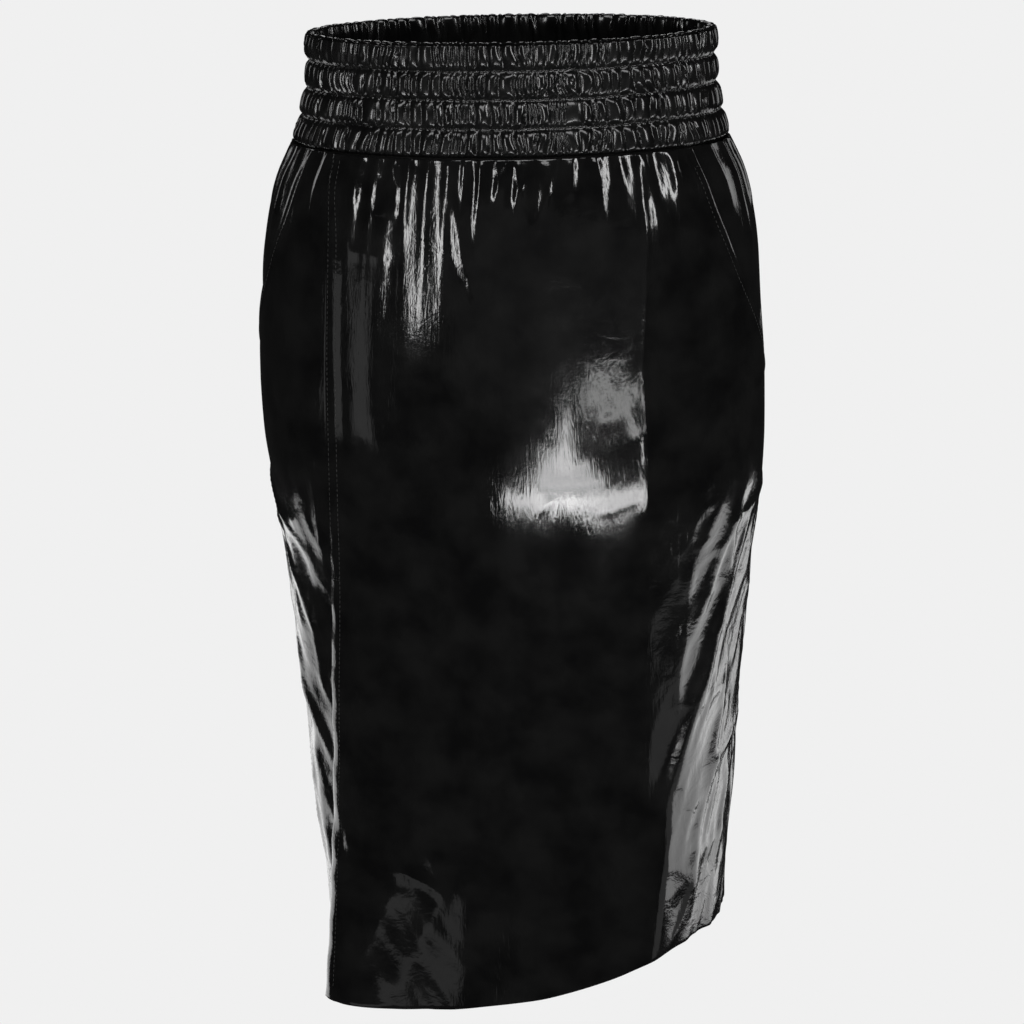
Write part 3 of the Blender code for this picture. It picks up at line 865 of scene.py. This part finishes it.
def makeBoard(values):
    # a flat board of leather, face up, with its edges weighted for the bevel
    bm = bmesh.new()
    bmesh.ops.create_grid(bm, x_segments=values["columns"], y_segments=values["rows"], size=0.5)
    under = bmesh.ops.extrude_face_region(bm, geom=bm.faces[:], use_keep_orig=True)
    underVerts = [item for item in under["geom"] if isinstance(item, bmesh.types.BMVert)]
    bmesh.ops.translate(bm, verts=underVerts, vec=(0.0, 0.0, -1.0))
    bmesh.ops.recalc_face_normals(bm, faces=bm.faces[:])
    weight = bm.edges.layers.float.new("bevel_weight_edge")

    def isSewn(edge):
        first, last = [vert.co for vert in edge.verts]
        for side, below in values["sewn"]:
            off = abs(first.x - side / 2) + abs(last.x - side / 2)
            if off < 0.001 and max(first.y, last.y) < below:
                return True
        return False

    for edge in bm.edges:
        normals = [face.normal for face in edge.link_faces]
        if len(normals) == 2 and normals[0].dot(normals[1]) < 0.5:
            edge[weight] = values["sewnRound"] if isSewn(edge) else 1.0
    for face in bm.faces:
        face.material_index = 1 if face.normal.z < -0.5 else 0
    mesh = bpy.data.meshes.new(values["name"])
    bm.to_mesh(mesh)
    bm.free()
    return mesh


def makePanel(values):
    # a flat board is cut, and then wrapped on the skirt's form
    columns, rows = values["columns"], values["rows"]
    mesh = makeBoard(values)
    share = np.linspace(0.0, 1.0, rows + 1)
    spread = (1.0 - values["crowded"]) * share + values["crowded"] * share**2
    nominal = values["top"] + (values["bottom"] - values["top"]) * spread
    start, end = values["edges"](nominal)
    part = np.linspace(0.0, 1.0, columns + 1)
    turn = start[:, None] + (end - start)[:, None] * part[None, :]
    drop = np.repeat(nominal[:, None], columns + 1, axis=1)
    outer = panelSurface(turn, drop, values["lift"])
    normal = np.cross(np.gradient(outer, axis=0), np.gradient(outer, axis=1))
    normal /= np.linalg.norm(normal, axis=-1, keepdims=True)
    fallen = hemmedDrop(turn, drop)
    hem = smoothCurve(form["hem"], 1, nearFront(turn))
    aboveHem = (hem - fallen - seams["hemTurned"]) / seams["hemStep"]
    wall = form["wall"] + seams["turnedWall"] * ease(1.0 - aboveHem)
    inner = outer - normal * wall[..., None]

    flat = coordinates(mesh)
    column = np.rint((flat[:, 0] + 0.5) * columns).astype(int)
    row = np.rint((0.5 - flat[:, 1]) * rows).astype(int)
    isUnder = flat[:, 2] < -0.5
    placed = np.where(isUnder[:, None], inner[row, column], outer[row, column])
    placed[:, 2] = np.minimum(placed[:, 2], -form["bandHeight"] / 2 - form["seamGap"])
    mesh.vertices.foreach_set("co", placed.ravel())
    setUv(mesh, np.stack([turn[row, column] * form["degree"], fallen[row, column]], axis=-1))
    setCrumple(mesh, dullShare(turn, drop)[row, column])
    mesh.update()
    materials = (panelLeather, fleshSide)
    piece = finishPiece(values["name"], mesh, materials, values["node"])
    edge = piece.modifiers.new("softEdge", "BEVEL")
    edge.limit_method = "WEIGHT"
    edge.width = values["edgeRound"]
    edge.segments = 2
    print("panel", values["name"], len(mesh.polygons))
    return piece


frontPanel = dict(
    cutting, name="frontPanel", node="front_panel", columns=150, rows=262,
    edges=frontEdges, lift=frontLift, sewn=((1, 0.118),),
)
sideFrontPanel = dict(
    cutting, name="sideFrontPanel", node="side_front_panel", columns=60, rows=240,
    edges=sideFrontEdges, lift=sideFrontLift, sewn=((-1, 0.118),),
)
backPanel = dict(
    cutting, name="backPanel", node="back_panel", columns=190, rows=215,
    edges=backEdges, lift=backLift,
)
leftFacing = dict(
    cutting, name="leftPocketFacing", node="left_pocket_facing", columns=44, rows=96,
    edges=leftFacingEdges, lift=facingLift, bottom=seams["facingEnd"], edgeRound=0.0004,
)
rightFacing = dict(
    leftFacing, name="rightPocketFacing", node="right_pocket_facing", edges=rightFacingEdges
)
cuts = (frontPanel, sideFrontPanel, backPanel, leftFacing, rightFacing)
panels = {values["name"]: makePanel(values) for values in cuts}


# The waistband: four rows of shirring over elastic, each crossed by uneven ribs.
band = {
    "rows": 4,
    "ribs": 116,
    "innerRibs": 84,
    "steps": 128,
    "cuts": 7,  # between two of those steps
    "levelsPerRow": 15,
    "rimSteps": 6,
    "innerLevels": 18,
    "rowFullness": 0.55,
    "rowFloor": 0.22,
    "rimFullness": 0.55,
    "rimSlope": 0.45,
    "ribRise": 0.0024,
    "ribUneven": 0.5,
    "ribShare": 0.5,  # unevenness of a rib's width
    "ribJitter": 0.3,
    "ribRound": 0.8,
    "ribLevel": 0.62,
    "ribSway": 1.0,  # in degrees
    "swayTall": 0.02,
    "swayCell": (0.02, 0.012),
    "ribAtLine": 0.35,
    "ribFree": 0.0045,  # from this far off a stitched line on
    "fullUneven": 0.3,
    "fullCell": (0.012, 0.009),
    "smallRise": 0.0007,  # the doubled, smaller puckers beside a stitched line
    "smallReach": 0.0026,
    "lineSink": 0.0009,
    "lineWide": 0.0014,
    "lineWobble": 0.030,  # share of a row
    "lineCell": (0.007, 0.018),
    "dimples": 18,  # pinched places in a row
    "dimpleSway": 0.9,
    "dimpleDown": (0.12, 0.9),  # share of the row's height
    "dimpleUpwards": 1.6,
    "dimpleSize": (0.5, 1.2),
    "dimpleDeep": 0.0013,
    "dimpleWide": 0.0021,
    "dimpleTall": 0.0024,
    "innerDepth": 0.003224,
    "innerRise": 0.0022,
    "innerLevel": 0.4,
    "innerSway": 1.6,
    "innerPuff": 0.0006,
    "rimRound": 0.0028,
    "footRound": 0.5,  # share of the rim's rounding
    "rimAbove": 0.0016,
    "scallop": 0.0014,
    "scallopFade": 0.15,  # share of a row
    "clothFull": 1.2,  # the pattern's fullness round the band
    "rimCloth": 0.004,
}


def rowHeight():
    return form["bandHeight"] / band["rows"]


def ribWave(turn, count, seed, row):
    # round ribs with narrow valleys, whose widths and heights differ
    widths = 1.0 + band["ribShare"] * np.random.default_rng(seed).uniform(-1.0, 1.0, count)
    most = band["ribJitter"]
    jitter = np.random.default_rng(seed * 7 + row).uniform(-most, most, count)
    bounds = np.concatenate([[0.0], np.cumsum(widths)])
    bounds = bounds / bounds[-1] * 360.0
    bounds[:-1] += jitter * 360.0 / count
    uneven = np.random.default_rng(seed * 3 + row).uniform(-1.0, 1.0, count)
    heights = 1.0 + band["ribUneven"] * uneven
    around = (turn - bounds[0]) % 360.0 + bounds[0]
    k = np.clip(np.searchsorted(bounds[:-1], around, side="right") - 1, 0, count - 1)
    end = np.where(k == count - 1, bounds[0] + 360.0, bounds[np.minimum(k + 1, count)])
    share = np.clip((around - bounds[k]) / (end - bounds[k]), 0.0, 1.0)
    return heights[k] * (np.sin(np.pi * share) ** band["ribRound"] - band["ribLevel"])


def dimpleRise(turn, part, row):
    # places where two ribs are pinched into one, most of them near a row's top
    random = np.random.default_rng(50 + row)
    total = np.zeros_like(turn)
    count = band["dimples"]
    places = (np.arange(count) + random.uniform(0.0, band["dimpleSway"], count)) * 360.0 / count
    downs = random.uniform(*band["dimpleDown"], count) ** band["dimpleUpwards"]
    sizes = random.uniform(*band["dimpleSize"], count)
    for place, down, size in zip(places, downs, sizes):
        x = nearFront(turn - place) * form["degree"] / (band["dimpleWide"] * size)
        y = (part - down) * form["bandHeight"] / band["rows"] / (band["dimpleTall"] * size)
        total -= size * np.exp(-x * x - y * y)
    return band["dimpleDeep"] * total


def lineWobble(turn, level):
    # how far the stitched lines waver
    inner = ease(np.minimum(level, band["rows"] - level) / 0.5)
    uneven = softNoise(turn, level * rowHeight(), *band["lineCell"], seed=43)
    return band["lineWobble"] * inner * uneven


def bandOutward(turn, level):
    # level counts rows down from the rim, and is a whole number on each stitched line
    level = level + lineWobble(turn, level)
    row = np.clip(np.floor(level), 0, band["rows"] - 1).astype(int)
    part = level - row
    puff = np.sin(np.pi * np.clip(part, 0.0, 1.0)) ** band["rowFullness"]
    puff = band["rowFloor"] + (1.0 - band["rowFloor"]) * puff
    rim = band["rimFullness"] + band["rimSlope"] * part
    puff = np.where(level < 0.5, np.maximum(puff, rim), puff)
    fromLine = np.minimum(part, 1.0 - part) * rowHeight()
    fromLine = np.where(row == 0, (1.0 - part) * rowHeight(), fromLine)
    full = band["ribAtLine"] + (1.0 - band["ribAtLine"]) * ease(fromLine / band["ribFree"])
    ribs = np.zeros_like(turn)
    small = np.zeros_like(turn)
    dimples = np.zeros_like(turn)
    swayed = softNoise(turn, level * band["swayTall"], *band["swayCell"], seed=41)
    sway = band["ribSway"] * swayed
    for k in range(band["rows"]):
        inRow = row == k
        if not inRow.any():
            continue
        ribs[inRow] = ribWave(turn[inRow] + sway[inRow], band["ribs"], 5, k)
        small[inRow] = ribWave(turn[inRow] + 0.5 * sway[inRow], 2 * band["ribs"], 9, 0)
        dimples[inRow] = dimpleRise(turn[inRow], part[inRow], k)
    uneven = softNoise(turn, level * rowHeight(), *band["fullCell"], seed=42)
    uneven = 1.0 + band["fullUneven"] * uneven
    rise = band["ribRise"] * full * uneven * ribs + dimples
    rise += band["smallRise"] * np.exp(-((fromLine / band["smallReach"]) ** 2)) * small
    sink = -band["lineSink"] * np.exp(-((fromLine / band["lineWide"]) ** 2))
    return form["rowBulge"] * (puff - 1.0) + rise + sink


def makeRing(outerRadius, innerRadius):
    # the band's profile is spun: its outside, its foot, its inside and its rim
    outerLevels = np.linspace(0.0, band["rows"], band["rows"] * band["levelsPerRow"] + 1)
    innerLevels = np.linspace(band["rows"], 0.0, band["innerLevels"])
    rim = np.linspace(0.0, 1.0, band["rimSteps"] + 1)[1:-1]
    bm = bmesh.new()
    profile = [bm.verts.new((0.0, -outerRadius, -level)) for level in outerLevels]
    profile += [bm.verts.new((0.0, -outerRadius + part, -band["rows"])) for part in rim]
    profile += [bm.verts.new((0.0, -innerRadius, -level)) for level in innerLevels]
    profile += [bm.verts.new((0.0, -innerRadius - part, 0.0)) for part in rim]
    outline = [bm.edges.new((profile[k - 1], profile[k])) for k in range(len(profile))]
    bmesh.ops.spin(
        bm, geom=profile + outline, cent=(0.0, 0.0, 0.0), axis=(0.0, 0.0, 1.0), angle=2 * math.pi,
        steps=band["steps"], use_merge=True, use_duplicate=False,
    )

    def isHoop(edge):
        first, last = [vert.co for vert in edge.verts]
        level = abs(first.z - last.z) < 0.001 and first.cross(last).z != 0.0
        return level and abs(first.xy.length - last.xy.length) < 0.001

    hoops = [edge for edge in bm.edges if isHoop(edge)]
    bmesh.ops.subdivide_edges(bm, edges=hoops, cuts=band["cuts"], use_grid_fill=True)
    bmesh.ops.recalc_face_normals(bm, faces=bm.faces[:])
    mesh = bpy.data.meshes.new("shirredBand")
    bm.to_mesh(mesh)
    bm.free()
    return mesh


def makeBand():
    # the spun ring's points are raised into rows and ribs, and laid round the waist
    outerRadius, innerRadius = 2.0, 1.0
    mesh = makeRing(outerRadius, innerRadius)
    ring = coordinates(mesh)
    turn = np.degrees(np.arctan2(ring[:, 0], -ring[:, 1]))
    level = -ring[:, 2]
    radius = np.hypot(ring[:, 0], ring[:, 1]) - innerRadius
    depth = np.rint(radius * band["rimSteps"]) / band["rimSteps"]
    depth = np.clip(depth, 0.0, 1.0)  # 1 outside, 0 inside
    outer = bandOutward(turn, level)
    uneven = softNoise(turn, level * rowHeight(), *band["swayCell"], seed=44)
    innerRibs = ribWave(turn + band["innerSway"] * uneven, band["innerRibs"], 6, 2)
    inner = -form["rowBulge"] - band["innerDepth"]
    inner = inner - band["innerRise"] * (band["innerLevel"] + innerRibs)
    inner = inner + band["innerPuff"] * (1.0 - np.abs(np.sin(np.pi * level)))
    across = depth * depth * (3.0 - 2.0 * depth)
    between = (depth > 0.001) & (depth < 0.999)
    outward = inner + (outer - inner) * np.where(between, across, depth)
    flatness = 1.0 - np.sqrt(np.maximum(1.0 - (2.0 * depth - 1.0) ** 2, 0.0))
    height = form["bandHeight"] * (0.5 - level / band["rows"])
    atTop = level < 0.001
    atBottom = level > band["rows"] - 0.001
    scallop = ribWave(turn, band["ribs"], 5, 0) * depth + innerRibs * (1.0 - depth)
    height = height + band["scallop"] * scallop * np.exp(-level / band["scallopFade"])
    height = height - band["rimRound"] * flatness * atTop
    height = height + band["rimRound"] * flatness * atBottom * band["footRound"]
    half = form["bandHeight"] / 2
    height = np.clip(height, -half, half + band["rimAbove"])
    mesh.vertices.foreach_set("co", girthPoints(turn, height, outward).ravel())
    along = turn * form["degree"] * band["clothFull"]
    setUv(mesh, np.stack([along, level * rowHeight() + depth * band["rimCloth"]], axis=-1))
    setCrumple(mesh, np.zeros(len(turn)))
    mesh.update()
    print("waistband", len(mesh.polygons))
    return finishPiece("shirredBand", mesh, (bandLeather,), "waistband")


shirredBand = makeBand()

# Stitches: each is a small thread lens that lies in the leather.
thread = {
    "length": 0.0026,
    "bandLength": 0.0036,
    "barLength": 0.0014,  # in the bartack at the slit's top
    "endLength": 0.0016,  # across the top of a pocket mouth's row
    "gap": 0.0008,
    "wide": 0.00050,
    "high": 0.00036,
    "proud": 0.00012,
    "sides": 6,
    "rings": 4,
    "start": 0.004,  # from the band to a row's first stitch
    "pastSlit": 0.004,
    "aboveHem": 0.006,
    "barDrops": (0.002, 0.0035),  # from the slit's top
    "barPast": 0.4,  # degrees past the two rows
    "mouthStart": 0.012,
    "mouthStop": 0.004,
    "bandSink": 0.0005,  # share of a row
}


def stitchPlaces(points, outward, length):
    # a place, and three axes, for each stitch of this length along a row of points
    steps = np.linalg.norm(np.diff(points, axis=0), axis=1)
    travelled = np.concatenate([[0.0], np.cumsum(steps)])
    pitch = length + thread["gap"]
    starts = np.arange(int(travelled[-1] // pitch)) * pitch

    def follow(values, at):
        return np.stack([np.interp(at, travelled, values[:, axis]) for axis in range(3)], axis=-1)

    def unit(values):
        return values / np.linalg.norm(values, axis=-1, keepdims=True)

    start, end = follow(points, starts), follow(points, starts + length)
    along = unit(end - start)
    across = unit(np.cross(follow(outward, starts + length / 2), along))
    up = np.cross(along, across)
    middle = (start + end) / 2 + up * thread["proud"]
    sizes = (length / 2, thread["wide"] / 2, thread["high"] / 2)
    return middle, np.stack([along * sizes[0], across * sizes[1], up * sizes[2]], axis=1)


def rowOnPanel(turn, drop, lift):
    # points and outward directions of a row of places on a panel
    point = panelSurface(turn, drop, lift)
    beside = panelSurface(turn + 0.3, drop, lift) - panelSurface(turn - 0.3, drop, lift)
    below = panelSurface(turn, drop + 0.0006, lift) - panelSurface(turn, drop - 0.0006, lift)
    normal = np.cross(below, beside)
    return point, normal / np.linalg.norm(normal, axis=-1, keepdims=True)


def makeStitches(name, rows):
    # one thread lens is doubled until there are enough, and each is laid in its place
    places = [stitchPlaces(*row) for row in rows]
    middles = np.concatenate([place[0] for place in places])
    axes = np.concatenate([place[1] for place in places])
    bm = bmesh.new()
    bmesh.ops.create_uvsphere(
        bm, u_segments=thread["sides"], v_segments=thread["rings"], radius=1.0
    )
    spacing = 4.0
    line = 1
    while line < len(middles):
        copies = bmesh.ops.duplicate(bm, geom=bm.verts[:] + bm.edges[:] + bm.faces[:])["geom"]
        copied = [item for item in copies if isinstance(item, bmesh.types.BMVert)]
        bmesh.ops.translate(bm, verts=copied, vec=(spacing * line, 0.0, 0.0))
        line *= 2
    spare = [vert for vert in bm.verts if vert.co.x > spacing * (len(middles) - 0.5)]
    bmesh.ops.delete(bm, geom=spare, context="VERTS")
    mesh = bpy.data.meshes.new(name)
    bm.to_mesh(mesh)
    bm.free()
    lens = coordinates(mesh)
    k = np.rint(lens[:, 0] / spacing).astype(int)
    lens[:, 0] -= spacing * k
    placed = middles[k] + np.einsum("ij,ijk->ik", lens, axes[k])
    mesh.vertices.foreach_set("co", placed.ravel())
    mesh.update()
    print("stitches", name, len(middles))
    return finishPiece(name, mesh, (blackThread,))


def panelRows():
    rows = []

    def addRow(turn, drop, lift, length):
        rows.append(rowOnPanel(turn, drop, lift) + (length,))

    turning = form["slitTop"] + thread["pastSlit"]
    upper = np.linspace(thread["start"], turning, 400)
    lower = np.linspace(turning, form["hemNominal"] - thread["aboveHem"], 400)
    near, far = [distance / form["degree"] for distance in seams["slitRows"]]
    for drops, offset in ((upper, near), (upper, far), (lower, far)):
        addRow(slitTurn(drops) + offset, drops, frontLift, thread["length"])
    bar = np.linspace(near - thread["barPast"], far + thread["barPast"], 20)
    for below in thread["barDrops"]:
        drops = np.full_like(bar, form["slitTop"] + below)
        addRow(slitTurn(drops) + bar, drops, frontLift, thread["barLength"])
    mouth = (thread["mouthStart"], form["pocketMouth"][-1][0] - thread["mouthStop"])
    drops = np.linspace(*mouth, 300)
    inside = seams["mouthRow"] / form["degree"]
    addRow(mouthTurn(drops) - inside, drops, frontLift, thread["length"])
    addRow(inside - mouthTurn(drops), drops, sideFrontLift, thread["length"])
    across = np.linspace(0.4, inside, 20)
    drops = np.full_like(across, thread["mouthStart"])
    addRow(mouthTurn(drops) - across, drops, frontLift, thread["endLength"])
    addRow(across - mouthTurn(drops), drops, sideFrontLift, thread["endLength"])
    return rows


def bandStitchRows():
    rows = []
    turn = np.linspace(-180.0, 180.0, 2400)
    for line in range(1, band["rows"]):
        wobble = lineWobble(turn, np.full_like(turn, float(line)))
        level = float(line) - thread["bandSink"] - wobble
        height = form["bandHeight"] * (0.5 - level / band["rows"])
        point = girthPoints(turn, height, bandOutward(turn, level))
        centre = np.stack([np.zeros_like(turn), np.zeros_like(turn), height], axis=-1)
        rows.append((point, point - centre, thread["bandLength"]))
    return rows


panelStitches = makeStitches("panelStitches", panelRows())
bandStitches = makeStitches("bandStitches", bandStitchRows())

# Camera: a long lens, a little above the waist, looking down and slightly rolled.
view = {
    "azimuth": 8.0,
    "distance": 1.70,
    "height": 0.198,
    "down": 16.3,
    "roll": 1.4,
    "lens": 88.9,
    "shiftPixels": 9.0,
    "framePixels": 1024.0,
}


def makeCamera():
    azimuth, down, roll = [math.radians(view[name]) for name in ("azimuth", "down", "roll")]
    right = Vector((math.cos(azimuth), math.sin(azimuth), 0.0))
    ahead = Vector((-math.sin(azimuth), math.cos(azimuth), 0.0))
    forward = ahead * math.cos(down) - Vector((0.0, 0.0, math.sin(down)))
    up = right.cross(forward)
    rolledRight = right * math.cos(roll) - up * math.sin(roll)
    rolledUp = up * math.cos(roll) + right * math.sin(roll)
    place = Matrix((rolledRight, rolledUp, -forward)).transposed().to_4x4()
    place.translation = -ahead * view["distance"]
    place.translation.z = view["height"]
    camera = bpy.data.objects.new("camera", bpy.data.cameras.new("camera"))
    camera.data.lens = view["lens"]
    camera.data.shift_x = -view["shiftPixels"] / view["framePixels"]
    camera.matrix_world = place
    bpy.context.scene.collection.objects.link(camera)
    bpy.context.scene.camera = camera


makeCamera()

# Studio: soft boxes, a pale floor and pale surroundings that the gloss doesn't pick up.
studio = {
    "pale": (0.871, 0.871, 0.871, 1.0),
    "surround": 0.010,  # what the leather sees where no soft box is
    "floorDrop": -1.05,
    "floorSize": 40.0,
    "boxes": (  # name, azimuth, distance, height, aim height, width, tall, power
        ("patchLeft", 3.9, 1.52, -0.587, -0.26, 0.450, 0.042, 0.58),
        ("patchRight", 28.8, 1.52, -0.589, -0.26, 0.835, 0.039, 0.78),
        ("patch1", 18.0, 1.52, -0.563, -0.26, 0.900, 0.029, 0.80),
        ("patch2", 16.3, 1.52, -0.527, -0.26, 0.640, 0.023, 0.45),
        ("patch3", 15.2, 1.53, -0.500, -0.26, 0.464, 0.019, 0.28),
        ("patch4", 14.2, 1.53, -0.480, -0.26, 0.222, 0.017, 0.11),
        ("patch5", 14.4, 1.54, -0.465, -0.26, 0.105, 0.017, 0.04),
        ("patch6", 15.7, 1.54, -0.447, -0.26, 0.104, 0.021, 0.04),
        ("patch7", 31.6, 1.60, -0.440, -0.26, 0.680, 0.016, 0.17),
        ("patch8", 29.9, 1.59, -0.420, -0.26, 0.366, 0.017, 0.08),
        ("leftStrip", -28.0, 1.70, 0.100, -0.10, 0.150, 0.81, 3.40),
        ("leftGlow", -48.4, 1.71, -0.335, -0.10, 0.325, 0.389, 0.14),
        ("veil", 13.5, 1.60, -0.196, -0.10, 1.895, 0.538, 0.14),
        ("rightStrip", 52.0, 1.50, 0.50, -0.05, 0.16, 0.90, 4.0),
        ("topBox", 4.0, 1.40, 1.15, -0.05, 1.20, 0.60, 8.0),
        ("leftCard", -121.0, 1.50, -1.08, -0.45, 1.70, 0.50, 4.0),
        ("leftHigh", -120.0, 1.60, 0.20, -0.10, 0.40, 0.50, 0.6),
        ("rightGlow", 66.0, 1.50, -1.08, -0.45, 0.68, 0.50, 0.28),
        ("rightCard", 111.0, 1.50, -1.08, -0.45, 1.90, 0.50, 5.5),
        ("rightHigh", 128.0, 1.60, 0.10, -0.10, 0.50, 0.50, 0.8),
        ("lowGlow", -30.0, 0.90, -0.95, -0.45, 0.40, 0.15, 0.050),
        ("rearTop", 188.0, 1.40, 1.50, -0.10, 1.00, 0.50, 5.0),
    ),
}


def makeBoxes():
    for name, azimuth, distance, height, aim, width, tall, power in studio["boxes"]:
        data = bpy.data.lights.new(name, "AREA")
        data.shape = "RECTANGLE"
        data.size = width
        data.size_y = tall
        data.energy = power
        box = bpy.data.objects.new(name, data)
        angle = math.radians(azimuth)
        box.location = (distance * math.sin(angle), -distance * math.cos(angle), height)
        box.rotation_mode = "QUATERNION"
        towards = Vector((0.0, 0.0, aim)) - box.location
        box.rotation_quaternion = towards.to_track_quat("-Z", "Y")
        box.visible_camera = False
        bpy.context.scene.collection.objects.link(box)


def makeStage():
    bm = bmesh.new()
    bmesh.ops.create_grid(bm, x_segments=1, y_segments=1, size=studio["floorSize"] / 2)
    bmesh.ops.translate(bm, verts=bm.verts[:], vec=(0.0, 0.0, studio["floorDrop"]))
    mesh = bpy.data.meshes.new("floor")
    bm.to_mesh(mesh)
    bm.free()
    material, nodes, links, shader = newMaterial("paleFloor")
    shader.inputs["Base Color"].default_value = (0.0, 0.0, 0.0, 1.0)
    shader.inputs["Specular IOR Level"].default_value = 0.0
    shader.inputs["Emission Color"].default_value = studio["pale"]
    shader.inputs["Emission Strength"].default_value = 1.0
    mesh.materials.append(material)
    floor = bpy.data.objects.new("floor", mesh)
    floor.visible_glossy = False
    bpy.context.scene.collection.objects.link(floor)
    world = bpy.data.worlds.new("studio")
    bpy.context.scene.world = world
    world.use_nodes = True
    nodes = world.node_tree.nodes
    links = world.node_tree.links
    nodes.clear()
    seen = addNode(nodes, "ShaderNodeBackground", Color=studio["pale"], Strength=1.0)
    reflected = addNode(
        nodes, "ShaderNodeBackground", Color=studio["pale"], Strength=studio["surround"]
    )
    mix = addNode(nodes, "ShaderNodeMixShader")
    path = addNode(nodes, "ShaderNodeLightPath")
    output = addNode(nodes, "ShaderNodeOutputWorld")
    links.new(path.outputs["Is Camera Ray"], mix.inputs["Fac"])
    links.new(reflected.outputs["Background"], mix.inputs[1])
    links.new(seen.outputs["Background"], mix.inputs[2])
    links.new(mix.outputs["Shader"], output.inputs["Surface"])
    settings = bpy.context.scene.view_settings
    settings.view_transform = "Standard"
    settings.look = "None"


makeBoxes()
makeStage()
print("studio ready")
